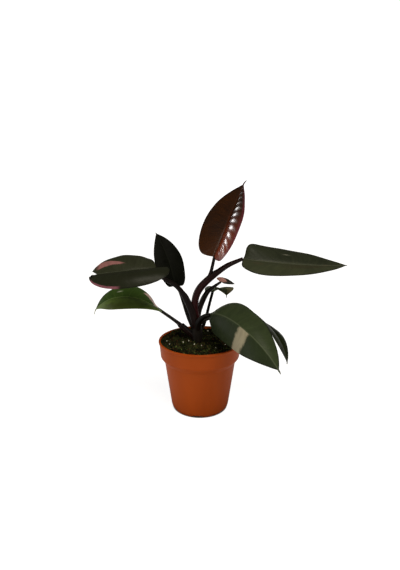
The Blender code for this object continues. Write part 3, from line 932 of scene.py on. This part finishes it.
@dataclass(frozen=True)
class Stalk:
    """A petiole or the stem: a swept, channelled stalk along a route.

    route holds (x, y, z, radius). sheath is the share of the length that has a
    winged sheath, wing how far its edges stand out and channel how deep the inner
    side is, as shares of the radius. plump makes the whole stalk thicker.
    """

    name: str
    slot: str
    route: tuple[tuple[float, float, float, float], ...]
    skin: StalkSkin
    sheath: float = 0.0
    wing: float = 0.0
    channel: float = 0.18
    spacing: float = 1.6  # millimetres between rings
    sides: int = 36
    plump: float = 1.0
    wing_at_foot: float = 0.35  # as a share of the wing at the sheath's end

    def chain(self) -> Mesh:
        """The route as a chain of points that carry the tree's attributes."""
        route = np.array(self.route, dtype=float)
        ends = np.vstack([2 * route[0] - route[1], route, 2 * route[-1] - route[-2]])
        steps = 6
        points = []
        for before, start, end, after in zip(ends, ends[1:], ends[2:], ends[3:]):
            for step in range(steps):
                t = step / steps
                points.append(0.5 * (2 * start + (end - before) * t
                    + (2 * before - 5 * start + 4 * end - after) * t ** 2
                    + (3 * start - before - 3 * end + after) * t ** 3))
        points.append(route[-1])
        curve = np.array(points)
        count = len(curve)
        tangents = np.gradient(curve[:, :3], axis=0)
        tangents /= np.linalg.norm(tangents, axis=1)[:, None]
        outward = curve[-1, :3] - curve[0, :3]
        outward[2] = 0
        outward /= max(np.linalg.norm(outward), 1e-6)
        beside = np.cross((0, 0, 1), outward)
        inner = np.cross(tangents, beside)
        inner /= np.linalg.norm(inner, axis=1)[:, None]
        walked = np.concatenate([[0], np.cumsum(np.linalg.norm(np.diff(curve[:, :3], axis=0), axis=1))])
        along = walked / walked[-1]
        # The sheath's wings swell towards its end and stop short in a tooth.
        sheathed = np.clip(along / max(self.sheath, 1e-6), 0, 1) * (along < self.sheath)
        stand = self.wing_at_foot + (1 - self.wing_at_foot) * sheathed
        wing = self.wing * stand * (along < self.sheath)
        mesh = bpy.data.meshes.new(self.name + "_route")
        mesh.from_pydata([tuple(point[:3] * MM) for point in curve],
            [(i, i + 1) for i in range(count - 1)], [])
        for label, values in (("girth", curve[:, 3] * self.plump * MM),
                ("channel", np.full(count, self.channel)), ("wing", wing)):
            mesh.attributes.new(label, "FLOAT", "POINT").data.foreach_set("value", values)
        mesh.attributes.new("inner", "FLOAT_VECTOR", "POINT").data.foreach_set("vector", inner.ravel())
        return mesh

    def build(self, sweep: StalkTree, *nodes: str) -> None:
        """Makes the stalk and dresses it.

        Args:
            sweep: the tree that sweeps it.
            *nodes: the frame's nodes that it replaces, if any.
        """
        skin = self.skin.build()
        chain = self.chain()
        length = sum((chain.vertices[a].co - chain.vertices[b].co).length
            for a, b in (edge.vertices for edge in chain.edges))
        mesh = grow(chain, sweep.tree, {"Rings": max(int(length / (self.spacing * MM)), 12),
            "Sides": self.sides, "Skin": skin}, self.name + "_stalk")
        close_up(mesh)
        declare(add_piece(self.name + "_stalk", mesh, skin), self.slot, *nodes)


# --------------------------------------------------------------------- blades

MIDRIB_STEPS = 192
OUTLINE_STEPS = (36, 36, 54)  # spokes that fan into the lobe, the flank and the shoulder
TAIL_STEPS = 12
SPANS = 18  # faces from the midrib to the margin
SPOKE_SPREAD = 1.5  # above 1, the spokes crowd towards the leaf's base
TIP_SHARE = 0.03  # half width of a drip tip where it leaves the shoulders
NOTCH_SHARE = 0.15  # the same, for a leaf whose tip lies in a notch
LOBE_PLACE = 0.45  # where a lobe reaches furthest back, as a share of the half width
DEEP_LOBE = 0.06  # a lobe deeper than this share of the length moves in towards the petiole
LOBE_SHIFT = 1.8
ROOT_PULL = (0.06, 0.6)  # the outline's handles, as shares of the half width and the length
LOBE_PULL = 0.35
FLANK_PULL = (0.8, 0.22)
SHOULDER_PULL = (0.3, 0.12)
FOLD_FADE = 0.25  # the share of a blade's fold that is lost by its tip
LAST_ROOT = 0.98  # where the last spoke of a notched leaf starts
TAIL_ROUND = 3.0  # how long a drip tip keeps its width before it runs out

# A blade's relief in millimetres; the rib's is for a blade of RELIEF_WIDTH and scales with it.
RELIEF_WIDTH = 70.0
GROOVE = (0.55, 1.0)  # depth and half width of the groove over the midrib
KEEL = (2.0, 1.7)  # height and half width of the keel under it
LEAST_RIB = 0.15  # the share of the groove and keel that is left at the tip
THICKNESS = (0.3, 0.6)  # at the margin and inside it
BEVEL = 6.0  # how far in from the margin the full thickness is reached
RIB_HEIGHT = 0.22  # of a lateral vein below the blade
VEIN_BOW = 0.12  # how far a lateral vein bends forward, as a share of the length
SWELL_SPREAD = 4.0  # a single swell is this many times wider across the blade than along it


@dataclass(frozen=True)
class Leaf:
    """One leaf: its petiole's route, and its blade's size, carriage and skin.

    heading and climb are the midrib's compass and slope angles at its base, at the
    blade's shoulders and at its tip. roll turns the blade about its midrib, at its
    base and tip. fold lifts its left and right halves and curl turns their margins
    down again. All angles are in degrees. lobe is how far each half reaches back
    past the petiole, widest is where the blade is broadest, and tail is how far the
    tip runs on past the shoulders or, below zero, stops short of them: all three
    are shares of the length. veins counts the lateral veins of a half, quilt is how
    far in millimetres the tissue swells between them, wave how far the margin rises
    and falls, and pleat how far each half swells up beside the midrib. swells
    holds (u, v, height, reach) of single swells: u and v as in Splash, the height in
    millimetres and the reach as a share of the length.
    """

    name: str
    route: tuple[tuple[float, float, float, float], ...]
    length: float
    width: float
    heading: tuple[float, float, float]
    climb: tuple[float, float, float]
    roll: tuple[float, float]
    fold: tuple[float, float]
    curl: tuple[float, float]
    lobe: tuple[float, float]
    widest: float
    fullness: float
    tail: float
    skin: LeafCuticle
    stalk_skin: StalkSkin
    sheath: float = 0.0
    wing: float = 0.0
    plump: float = 1.1
    veins: float = 13.0
    quilt: tuple[float, float] = (0.08, 0.08)
    wave: float = 0.5
    pleat: tuple[float, float] = (0.4, 0.4)
    swells: tuple[tuple[float, float, float, float], ...] = ()

    def half_outline(self, half: int) -> np.ndarray:
        """One half of the flat blade's outline, from its base to its shoulder.

        Args:
            half: 0 for the left half and 1 for the right.

        Returns:
            Rows of (distance from the midrib, distance along it) in millimetres.
        """
        lobe, widest, tail = self.lobe[half], self.widest, self.tail
        shoulder = (TIP_SHARE if tail > 0 else NOTCH_SHARE, 1 - max(tail, 0))
        back = LOBE_PLACE - LOBE_SHIFT * max(lobe - DEEP_LOBE, 0)
        arcs = (((0, 0), (ROOT_PULL[0], -ROOT_PULL[1] * lobe), (LOBE_PULL * back, -lobe), (back, -lobe)),
            ((back, -lobe), (FLANK_PULL[0], -lobe), (1, widest - FLANK_PULL[1]), (1, widest)),
            ((1, widest), (1, widest + SHOULDER_PULL[0]), (self.fullness, shoulder[1] - SHOULDER_PULL[1]),
            shoulder))
        outline = [np.zeros(2)]
        for (first, second, third, last), steps in zip(arcs, OUTLINE_STEPS):
            for step in range(1, steps + 1):
                t = step / steps
                outline.append((1 - t) ** 3 * np.array(first) + 3 * (1 - t) ** 2 * t * np.array(second)
                    + 3 * (1 - t) * t ** 2 * np.array(third) + t ** 3 * np.array(last))
        return np.array(outline) * (self.width / 2, self.length)


class BladeForm:
    """Bends a flat leaf outline into the blade's carriage in space."""

    def __init__(self, leaf: Leaf) -> None:
        """Follows the midrib and finds its directions."""
        self.leaf = leaf
        along = np.linspace(0, 1, MIDRIB_STEPS)
        stations = (0, 1 - max(leaf.tail, 0.001), 1)
        heading = np.radians(np.interp(along, stations, leaf.heading))
        climb = np.radians(np.interp(along, stations, leaf.climb))
        roll = np.radians(np.interp(along, (0, 1), leaf.roll))[:, None]
        level = np.zeros(MIDRIB_STEPS)
        self.forward = np.stack([np.cos(climb) * np.cos(heading), np.cos(climb) * np.sin(heading),
            np.sin(climb)], axis=1)
        left = np.stack([-np.sin(heading), np.cos(heading), level], axis=1)
        up = np.cross(self.forward, left)
        self.left = np.cos(roll) * left + np.sin(roll) * up
        self.up = np.cos(roll) * up - np.sin(roll) * left
        stride = leaf.length / (MIDRIB_STEPS - 1)
        steps = (self.forward[1:] + self.forward[:-1]) / 2 * stride
        self.midrib = np.array(leaf.route[-1][:3]) + np.vstack([np.zeros(3), np.cumsum(steps, axis=0)])

    def sample(self, rows: np.ndarray, place: np.ndarray) -> np.ndarray:
        """Reads one of the midrib's tables at places from 0, the base, to 1, the tip.

        Args:
            rows: the table.
            place: the places.

        Returns:
            One row of the table for each place.
        """
        spot = np.clip(place, 0, 1) * (MIDRIB_STEPS - 1)
        row = np.minimum(spot.astype(int), MIDRIB_STEPS - 2)
        return rows[row] + (rows[row + 1] - rows[row]) * (spot - row)[..., None]

    def points(self, out: np.ndarray, along: np.ndarray) -> np.ndarray:
        """The places in space of flat points.

        Args:
            out: millimetres from the midrib, positive on the left half.
            along: millimetres along it.

        Returns:
            The points in millimetres.
        """
        leaf = self.leaf
        place = along / leaf.length
        side = np.where(out < 0, -1.0, 1.0)
        distance = np.abs(out)
        fold = np.radians(np.where(out < 0, leaf.fold[1], leaf.fold[0]))
        fold *= 1 - FOLD_FADE * np.clip(place, 0, 1)
        bend = np.radians(np.where(out < 0, leaf.curl[1], leaf.curl[0])) / (leaf.width / 2)
        reach = (np.sin(fold) - np.sin(fold - bend * distance)) / bend
        rise = (np.cos(fold - bend * distance) - np.cos(fold)) / bend
        spot = self.sample(self.midrib, place) + self.forward[0] * np.minimum(along, 0)[..., None]
        return (spot + (side * reach)[..., None] * self.sample(self.left, place) + rise[..., None]
            * self.sample(self.up, place))


class Blade:
    """Builds a leaf's blade: an upper and a lower face with veins, rib and margin."""

    def __init__(self, leaf: Leaf) -> None:
        """Lays out the blade's grid, from the right margin over the midrib to the left one."""
        self.leaf = leaf
        last = sum(OUTLINE_STEPS)
        reach = leaf.length * (1 - abs(leaf.tail))
        roots = reach * (np.arange(last + 1) / last) ** SPOKE_SPREAD
        if leaf.tail <= 0:
            roots = np.minimum(roots, LAST_ROOT * reach)
        tip = leaf.length * (1 + min(leaf.tail, 0))
        run = np.arange(1, TAIL_STEPS) / TAIL_STEPS
        taper = 1 - run ** (TAIL_ROUND if leaf.tail > 0 else 1.0)
        shares = np.linspace(0, 1, SPANS + 1)
        shares = 0.55 * shares ** 1.8 + 0.45 * (1 - (1 - shares) ** 1.5)
        columns = []
        for half in (1, 0):
            outline = leaf.half_outline(half)
            tail_out = outline[-1, 0] * taper
            tail_along = outline[-1, 1] + (tip - outline[-1, 1]) * run
            edge = np.vstack([outline, np.stack([tail_out, tail_along], axis=1)])
            root = np.concatenate([roots, roots[-1] + (tip - roots[-1]) * run])
            sign = -1 if half else 1
            out = sign * edge[:, :1] * shares[None, :]
            along = root[:, None] + (edge[:, 1:] - root[:, None]) * shares[None, :]
            columns.append((out, along))
        (right_out, right_along), (left_out, left_along) = columns
        self.out = np.hstack([right_out[:, :0:-1], left_out])
        self.along = np.hstack([right_along[:, :0:-1], left_along])
        self.across = np.concatenate([-shares[:0:-1], shares])
        u = np.concatenate([np.arange(last + 1) / last, 1 + abs(leaf.tail) * run])
        self.u = np.repeat(u[:, None], self.out.shape[1], axis=1)
        self.v = np.repeat(self.across[None, :], self.out.shape[0], axis=0)
        edge_out = np.where(self.v < 0, self.out[:, :1], self.out[:, -1:])
        edge_along = np.where(self.v < 0, self.along[:, :1], self.along[:, -1:])
        root = self.along[:, SPANS:SPANS + 1]
        self.margin = np.hypot(edge_out, edge_along - root) * (1 - np.abs(self.v))
        # A vein leaves the midrib steeply and bends forward to the margin.
        bow = np.abs(self.v) * (1 - np.abs(self.v))
        bend = VEIN_BOW * bow * np.sqrt(np.maximum(self.u, 0))
        self.phase = leaf.veins * (self.u - bend) + 0.5 * (self.v < 0)
        self.tip = tip

    def relief(self) -> tuple[np.ndarray, np.ndarray]:
        """How far the upper face and the lower face stand off the plain blade.

        Returns:
            Two grids of millimetres along the blade's normal.
        """
        leaf = self.leaf
        inward = np.abs(self.v)
        fade = np.clip((inward - 0.06) / 0.22, 0, 1) * np.clip((1 - inward) / 0.3, 0, 1)
        base_fade = np.clip(self.u / 0.08, 0, 1)
        quilt = np.where(self.v < 0, leaf.quilt[1], leaf.quilt[0])
        seed = sum(ord(letter) for letter in leaf.name)
        uneven = 0.75 + 0.5 * np.sin(2.3 * self.phase + seed) * np.cos(3.1 * self.v)
        swell = -quilt * np.cos(math.tau * self.phase) * uneven * fade * base_fade
        waves = np.sin(math.tau * (2.3 * self.u + 0.13 * seed) + (self.v < 0) * 1.9)
        waves += 0.5 * np.sin(math.tau * (5.1 * self.u + 0.29 * seed) + (self.v > 0) * 0.8)
        body = swell + leaf.wave * waves * inward ** 3 * base_fade * np.clip((1.05 - self.u) / 0.3, 0, 1)
        pleat = np.where(self.v < 0, leaf.pleat[1], leaf.pleat[0])
        arch = pleat * np.sin(math.pi * inward) * np.clip(self.u / 0.35, 0, 1)
        body += arch * np.clip((1.02 - self.u) / 0.25, 0, 1)
        for place_u, place_v, height, reach in leaf.swells:
            far = ((self.u - place_u) / reach) ** 2 + ((self.v - place_v) / (SWELL_SPREAD * reach)) ** 2
            body += height * np.exp(-far)
        thickness = np.interp(self.margin, (0, BEVEL), THICKNESS)
        share = leaf.width / RELIEF_WIDTH
        taper = share * np.clip(1 - 0.8 * self.u, LEAST_RIB, 1)
        groove, keel = (height * taper * np.exp(-(self.out / (reach * share)) ** 2)
            for height, reach in (GROOVE, KEEL))
        ribs = RIB_HEIGHT * np.maximum(np.cos(math.tau * self.phase), 0) ** 6 * fade
        return body - groove, body - thickness - keel - ribs

    def mesh(self) -> Mesh:
        """Builds the blade as one closed mesh with its skin's attributes."""
        form = BladeForm(self.leaf)
        grid = form.points(self.out, self.along)
        rows, cols = self.out.shape
        rows_down = np.gradient(grid, axis=0)
        cols_across = np.gradient(grid, axis=1)
        normal = np.cross(rows_down, cols_across)
        normal[0] = normal[1]
        length = np.linalg.norm(normal, axis=2, keepdims=True)
        normal = normal / np.maximum(length, 1e-9)
        upward = form.sample(form.up, self.along / self.leaf.length)
        flip = np.where((normal * upward).sum(axis=2, keepdims=True) < 0, -1.0, 1.0)
        normal = normal * flip
        normal[:, SPANS] = upward[:, SPANS]
        top, bottom = self.relief()
        tip = form.points(np.array([0.0]), np.array([self.tip]))[0]
        index = np.zeros((rows + 1, cols), dtype=int)
        index[1:rows] = 1 + np.arange((rows - 1) * cols).reshape(rows - 1, cols)
        index[rows] = (rows - 1) * cols + 1
        count = index.max() + 1
        corners = np.zeros((2 * count, 3))
        tables = {"leaf_place": np.zeros((2 * count, 3)), "leaf_size": np.zeros((2 * count, 3))}
        for sheet, offset in enumerate((top, bottom)):
            start = sheet * count
            block = slice(start + 1, start + count - 1)
            corners[block] = (grid + normal * offset[..., None])[1:].reshape(-1, 3)
            corners[start] = grid[0, SPANS] + normal[0, SPANS] * offset[0, SPANS]
            corners[start + count - 1] = tip - upward[-1, SPANS] * (0.25 * sheet)
            for label, grids in (("leaf_place", (self.u, self.v, self.phase)),
                    ("leaf_size", (self.out, self.along, self.margin))):
                tables[label][block] = np.stack(grids, axis=2)[1:].reshape(-1, 3)
            tables["leaf_place"][start + count - 1] = (self.u[-1, 0], 0, self.phase[-1, 0])
            tables["leaf_size"][start + count - 1] = (0, self.tip, 0)
        faces = []
        for row in range(rows):
            near, far = index[row], index[row + 1]
            for col in range(cols - 1):
                loop = list(dict.fromkeys((near[col], near[col + 1], far[col + 1], far[col])))
                if len(loop) > 2:
                    faces.append([int(corner) for corner in loop])
                    faces.append([int(corner) + count for corner in reversed(loop)])
            for col in (0, cols - 1):
                faces.append([int(near[col]), int(far[col]), int(far[col]) + count,
                    int(near[col]) + count])
        mesh = bpy.data.meshes.new(self.leaf.name + "_leaf")
        mesh.from_pydata([tuple(corner * MM) for corner in corners], [], faces)
        for label, table in tables.items():
            mesh.attributes.new(label, "FLOAT_VECTOR", "POINT").data.foreach_set("vector", table.ravel())
        under = np.repeat((0.0, 1.0), count)
        mesh.attributes.new("underside", "FLOAT", "POINT").data.foreach_set("value", under)
        mesh.update()
        close_up(mesh, 75)
        return mesh

    def build(self) -> None:
        """Makes the blade and dresses it."""
        leaf = self.leaf
        piece = add_piece(leaf.name + "_leaf", self.mesh(), leaf.skin.build())
        declare(piece, leaf.name + "_leaf_skin", leaf.name + "_blade")


# ---------------------------------------------------------------------- plant


class Stain(Enum):
    """The stalks' shades, by how much red the skin has."""

    RED = ("2a0b0c", "160807", "3c1816")
    BROWN = ("150a08", "0c0706", "2a1c17")
    DARK = ("0e0805", "080604", "1e1812")

    def skin(self, name: str) -> StalkSkin:
        """A stalk's skin in this shade."""
        foot, top, streak = self.value
        return StalkSkin(name, foot, top, streak)


STEM_ROUTE = ((-3, 0, 84, 7.8), (-3, 0, 100, 7.6), (-4, 0, 118, 7.0), (-4, 0, 133, 5.6))

# The left leaf's tip has dried and curled up into a hook.
LEFT_TIP_ROUTE = (
    (-132, -38.5, 198.6, 1.0), (-136, -40.0, 198.0, 0.95), (-140.6, -39.6, 199.6, 0.9),
    (-142.8, -38.6, 203.3, 0.75), (-141.8, -38.1, 206.0, 0.6), (-139.2, -37.9, 206.8, 0.35))

LEAVES = (
    Leaf("right",
        route=((-4, 0, 128, 4.4), (-8, 0, 156, 4.4), (1, 0, 181, 4.3), (33, 4, 208, 3.3),
            (60, 5, 221, 2.1)),
        length=151, width=72, heading=(-9, 13, 14), climb=(-7, -1.3, -6), roll=(28, 16), fold=(17, 18),
        curl=(23, 20), lobe=(-0.014, 0.0), widest=0.31, fullness=0.4, tail=0.02,
        skin=LeafCuticle("right leaf cuticle", "353929", "3f432f", "4a4e3f", "55584a", "12110b", "3a1f1c",
            gloss=0.1,
            splashes_and_painted_light=(
                Splash("20241b", 0.45, 0.6, 0.5, 0.55, soft=0.12, strength=0.7),
                Splash("46402e", 0.36, -0.4, 0.05, 0.12, soft=0.04, strength=0.5),
                Splash("3a3322", 0.7, -0.3, 0.12, 0.2, soft=0.1, strength=0.5),
                Splash("8f8d7e", 0.6, 0.5, 0.005, 0.02, ragged=0.01),
                Splash("8a6a50", 0.86, 0.0, 0.008, 0.03, ragged=0.01),
                Splash("0e0c08", 1.02, 0.0, 0.035, 1.2, soft=0.01))),
        stalk_skin=Stain.RED.skin("right stalk skin"), plump=1.25, sheath=0.66, wing=0.35,
        swells=((0.4, 1.0, 2.6, 0.1), (0.26, 1.0, -1.0, 0.05), (0.55, 1.0, -0.6, 0.08),
            (0.52, -1.0, -1.8, 0.1))),
    Leaf("top",
        route=((9, 2, 190, 2.2), (15, 0, 203, 2.1), (20, 0, 225, 1.9)),
        length=118, width=65, heading=(40, 32, 38), climb=(63, 62, 30), roll=(12, 13), fold=(31, 23),
        curl=(9, 4), lobe=(0.02, 0.05), widest=0.36, fullness=0.40, tail=0.08,
        skin=LeafCuticle("top leaf cuticle", "341a05", "231104", "4a2818", "45200f", "1a0c08", "5a2a26",
            roughness=0.22, wax=0.36, gloss=0.42, vein_strength=0.18, grain=0.04,
            splashes_and_painted_light=(
                Splash("4a260c", 0.1, 0.6, 0.28, 0.6, ragged=0.15, soft=0.25, strength=0.6),
                # Partly painted light: the right half's own rust tone, made lighter for the left rear
                # window's light on it.
                Splash("8a3a1e", 0.2, -0.6, 0.36, 0.5, ragged=0.12, soft=0.2, strength=0.9),
                Splash("6b2c38", 0.62, -0.98, 0.4, 0.1, ragged=0.05, soft=0.08, strength=0.8))),
        stalk_skin=Stain.BROWN.skin("top stalk skin"), plump=1.25, veins=18, quilt=(0.04, 0.2),
        pleat=(0.3, 1.5)),
    Leaf("left",
        route=((-6, -1, 122, 4.2), (-13, -4, 150, 4.0), (-29, -11, 182, 2.9), (-53, -16, 200, 2.1),
            (-59, -22, 213, 2.0)),
        length=90, width=72, heading=(-147, -203, -203), climb=(2, -12.5, -12.5), roll=(-14, -35),
        fold=(33, 21), curl=(76, 33), lobe=(0.13, 0.03), widest=0.29, fullness=0.82, tail=-0.1,
        skin=LeafCuticle("left leaf cuticle", "343728", "2c2e20", "42453a", "484b3e", "12110b", "3a2320",
            gloss=0.1,
            splashes_and_painted_light=(
                Splash("1c1e14", 0.45, 0.62, 0.7, 0.55, soft=0.16, strength=0.75),
                Splash("9c6a68", 0.79, -0.57, 0.16, 0.14, slope=-1.35, flare=0.95),
                Splash("8a5560", 0.82, 0.98, 0.12, 0.08, ragged=0.02, soft=0.02),
                # Painted highlight: a pale glint where the petiole meets the blade.
                Splash("9a9c8c", 0.0, 0.0, 0.012, 0.3, ragged=0.02))),
        stalk_skin=Stain.BROWN.skin("left stalk skin"), plump=1.27, sheath=0.5, wing=0.45),
    Leaf("rear_left",
        route=((-8, 2, 116, 2.4), (-17, 7, 136, 2.3), (-29, 20, 169, 1.9), (-37, 25, 180, 1.8)),
        length=85, width=49.5, heading=(127, 136, 150), climb=(71, 46, 50), roll=(14, -32), fold=(13, 14),
        curl=(22, 22), lobe=(0.045, 0.055), widest=0.28, fullness=0.36, tail=0.03,
        skin=LeafCuticle("rear left leaf cuticle", "0a0b07", "0f100b", "191b14", "171912", "060604",
            "1c0f0d", roughness=0.55, gloss=0.04),
        stalk_skin=Stain.DARK.skin("rear left stalk skin"), plump=1.4),
    Leaf("front",
        route=((-4, -2, 116, 3.6), (-1, -7, 132, 3.4), (6, -12, 142, 2.9), (14, -18, 146, 2.3)),
        length=156, width=74, heading=(-73, -34, -30), climb=(26, -53, -60), roll=(36, 19), fold=(6, -49),
        curl=(50, 29), lobe=(0.05, 0.05), widest=0.32, fullness=0.5, tail=0.04,
        skin=LeafCuticle("front leaf cuticle", "3a442b", "323b26", "475139", "535a44", "10110a", "38201c",
            gloss=0.07,
            splashes_and_painted_light=(
                # Painted shade: the drooping right half, which faces down, is made darker.
                Splash("1f2618", 0.5, -0.6, 0.7, 0.56, soft=0.1, strength=0.6),
                Splash("a59b80", 0.695, -0.56, 0.042, 0.54, ragged=0.05, soft=0.012),
                Splash("8f907c", 0.36, 0.62, 0.006, 0.02, ragged=0.01))),
        stalk_skin=Stain.DARK.skin("front stalk skin"), plump=1.2, sheath=0.6, wing=0.3,
        swells=((0.24, 1.0, -1.6, 0.09), (0.45, 1.0, 2.4, 0.09), (0.62, 1.0, -1.4, 0.07))),
    Leaf("lower_left",
        route=((-5, 2, 103, 3.3), (-18, 5, 113, 3.3), (-28, 8, 121, 3.0), (-35, 10, 127, 2.0),
            (-62, 12, 146.2, 1.7)),
        length=115, width=66, heading=(188, 159, 150), climb=(43, -48, -88), roll=(11, -51), fold=(9, 10),
        curl=(25, 12), lobe=(0.04, 0.13), widest=0.29, fullness=0.29, tail=0.09,
        skin=LeafCuticle("lower left leaf cuticle", "344a1d", "3c5220", "566a35", "75874f", "17180d",
            "4a2a22", vein_strength=0.35, gloss=0.1,
            splashes_and_painted_light=(
                # Painted light: the left half is made a lighter green where it is lit.
                Splash("7a9341", 0.6, 0.65, 0.5, 0.55, soft=0.2, strength=0.65),
                Splash("4a4f22", 0.7, 0.8, 0.12, 0.25, ragged=0.1, soft=0.12, strength=0.7),
                Splash("f0ccc2", 0.25, -0.72, 0.27, 0.46, slope=-0.9, flare=-0.55, ragged=0.04,
                    soft=0.02),
                Splash("f0ccc2", 0.02, 0.5, 0.17, 1.2, ragged=0.04, soft=0.02),
                # Painted highlight: a small pale spot.
                Splash("c9cdb8", 0.70, -0.43, 0.008, 0.04, ragged=0.01),
                Splash("a8a48c", 1.075, 0.0, 0.045, 1.5, ragged=0.01, soft=0.01))),
        stalk_skin=Stain.BROWN.skin("lower left stalk skin"), plump=1.35, sheath=0.42, wing=0.5),
    Leaf("lower_right",
        route=((-4, 2, 116, 2.2), (6, 8, 129, 2.1), (42, 20, 136, 1.9)),
        length=127, width=53, heading=(-14, -36, -60), climb=(12, -81, -100), roll=(-54, 17),
        fold=(11, 13), curl=(27, 22), lobe=(0.06, -0.12), widest=0.34, fullness=0.28, tail=0.03,
        skin=LeafCuticle("lower right leaf cuticle", "1e240e", "161a0c", "2e3519", "2a301a", "10110a",
            "34201a", gloss=0.06),
        stalk_skin=Stain.DARK.skin("lower right stalk skin")),
    Leaf("small_pink",
        route=((-3, 3, 122, 3.2), (-2, 5, 144, 3.2), (8, 8, 168, 2.9), (17, 10, 177, 2.0),
            (30, 12, 186, 1.3)),
        length=32, width=22, heading=(55, 31, 31), climb=(-3, -26, -30), roll=(20, 20), fold=(15, 15),
        curl=(14, 16), lobe=(0.06, 0.06), widest=0.32, fullness=0.34, tail=0.04,
        skin=LeafCuticle("small pink leaf cuticle", "333a2c", "2a3024", "4a5240", "6a4a44", "1c1a14",
            "b06a64", rim=0.7,
            splashes_and_painted_light=(
                Splash("ffbcae", 0.22, 0.7, 0.4, 1.5, flare=-1.7, ragged=0.08),)),
        stalk_skin=Stain.BROWN.skin("small pink stalk skin"), plump=1.35, sheath=0.6, wing=0.15, veins=9,
        wave=0.2),
    Leaf("small_rear",
        route=((-3, 3, 113, 1.3), (6, 16, 121, 1.2), (15, 46, 145, 1.1), (20, 64, 158, 1.1)),
        length=52, width=42, heading=(-41, -85, -95), climb=(40, -28, -75), roll=(-7, -8), fold=(18, 18),
        curl=(18, 13), lobe=(0.06, 0.06), widest=0.32, fullness=0.35, tail=0.1,
        skin=LeafCuticle("small rear leaf cuticle", "566242", "4a5636", "687352", "565c40", "1a1a10",
            "4c583a", rim=0.9,
            splashes_and_painted_light=(
                Splash("8a8560", 0.82, 0.7, 0.14, 0.35, ragged=0.12),
                Splash("8a8560", 0.92, -0.9, 0.06, 0.25, ragged=0.08))),
        stalk_skin=Stain.DARK.skin("small rear stalk skin"), plump=2.0, veins=9, wave=0.3),
)


class Plant:
    """The stem and every leaf on it."""

    def build(self) -> None:
        """Makes the stem, the petioles and the blades."""
        sweep = StalkTree()
        Stalk("stem", "stem_skin", STEM_ROUTE, StalkSkin("stem skin", "0d0b08", "15100c", "2e261d", 0.55),
            channel=0.0, spacing=1.0).build(sweep, "stem")
        for leaf in LEAVES:
            petiole = leaf.name + "_petiole"
            Stalk(petiole, "petiole_skin", leaf.route, leaf.stalk_skin, leaf.sheath, leaf.wing,
                plump=leaf.plump).build(sweep, petiole)
            Blade(leaf).build()
        Stalk("left_leaf_tip", "left_leaf_skin", LEFT_TIP_ROUTE, Stain.DARK.skin("dried leaf tip"),
            channel=0.0, spacing=0.6).build(sweep)


# --------------------------------------------------------------------- studio


@dataclass(frozen=True)
class SoftBox:
    """A soft rectangular light that looks at a target."""

    name: str
    place: Point
    target: Point
    width: float
    height: float
    power: float
    beam: float  # degrees across

    def build(self) -> None:
        """Hangs the light."""
        lamp = bpy.data.lights.new(self.name, "AREA")
        lamp.shape, lamp.spread = "RECTANGLE", math.radians(self.beam)
        lamp.size, lamp.size_y, lamp.energy = self.width, self.height, self.power
        light = bpy.data.objects.new(self.name, lamp)
        light.location = self.place
        light.visible_camera = False
        aim = Vector(self.target) - Vector(self.place)
        light.rotation_euler = aim.to_track_quat("-Z", "Y").to_euler()
        bpy.context.collection.objects.link(light)


@dataclass(frozen=True)
class Sun:
    """A broad even light from one side, as from a bounced flash on a white ceiling."""

    name: str
    direction: Point  # from the plant towards the light
    spread: float  # degrees across
    strength: float
    colour: str = "fff7e7"

    def build(self) -> None:
        """Hangs the light."""
        lamp = bpy.data.lights.new(self.name, "SUN")
        lamp.energy, lamp.angle = self.strength, math.radians(self.spread)
        lamp.color = linear(self.colour)[:3]
        light = bpy.data.objects.new(self.name, lamp)
        light.rotation_euler = Vector(self.direction).to_track_quat("Z", "Y").to_euler()
        bpy.context.collection.objects.link(light)


@dataclass(frozen=True)
class Studio:
    """A white table, soft light all round and the camera a little above the plant."""

    camera_place: Point = (0.0, -0.566, 0.320)
    camera_tilt: float = 76.5  # degrees up from straight down
    lens: float = 26.08
    floor_radius: float = 9.0
    air: str = "ffffff"
    air_light: float = 0.05
    lights: tuple[Any, ...] = (
        Sun("high front light", (0.25, -0.38, 0.89), 34.0, 2.0),
        Sun("camera side light", (0.05, -0.97, 0.22), 24.0, 0.5),
        SoftBox("left rear window", (-0.66, 0.50, 0.62), (0.04, 0.045, 0.36), 0.25, 0.24, 0.032, 13.0),
        Sun("left light", (-0.93, -0.25, 0.12), 40.0, 0.35, "fffcf4"),
        Sun("left rear light", (-0.86, 0.48, 0.14), 40.0, 0.3, "fffcf4"),
        SoftBox("low left box", (-1.0, -0.2, 0.10), (-0.03, 0.0, 0.05), 0.4, 0.12, 0.036, 14.0),
    )

    def build(self) -> None:
        """Lays the table, hangs the lights and sets up the camera."""
        shape = bmesh.new()
        bmesh.ops.create_circle(shape, cap_ends=True, segments=96, radius=self.floor_radius)
        mesh = bpy.data.meshes.new("table")
        shape.to_mesh(mesh)
        shape.free()
        table = bpy.data.objects.new("table", mesh)
        bpy.context.collection.objects.link(table)
        mesh.materials.append(StudioPaper().build())
        for light in self.lights:
            light.build()
        world = bpy.data.worlds.new("white room")
        world.use_nodes = True
        tree = world.node_tree
        background = tree.nodes["Background"]
        # The room is seen as plain white, and lights the plant more softly than that.
        seen = add_node(tree, "ShaderNodeLightPath").outputs["Is Camera Ray"]
        strength = add_node(tree, RANGE, {"Value": seen, "To Min": self.air_light, "To Max": 1.2})
        fill(tree, background, {"Color": linear(self.air), "Strength": strength})
        bpy.context.scene.world = world
        bpy.context.scene.view_settings.view_transform = "Standard"
        eye = bpy.data.cameras.new("camera")
        eye.sensor_width = 36.0
        eye.lens = self.lens
        eye.clip_start, eye.clip_end = 0.01, 50.0
        camera = bpy.data.objects.new("camera", eye)
        camera.location = self.camera_place
        camera.rotation_euler = (math.radians(self.camera_tilt), 0, 0)
        bpy.context.collection.objects.link(camera)
        bpy.context.scene.camera = camera


def main() -> None:
    """Builds the pot, the soil, the plant and the studio."""
    logging.basicConfig(level=logging.INFO, format="%(name)s: %(message)s")
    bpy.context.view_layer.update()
    Studio().build()
    Pot().build()
    Soil().build()
    Plant().build()


if __name__ == "__main__":
    main()
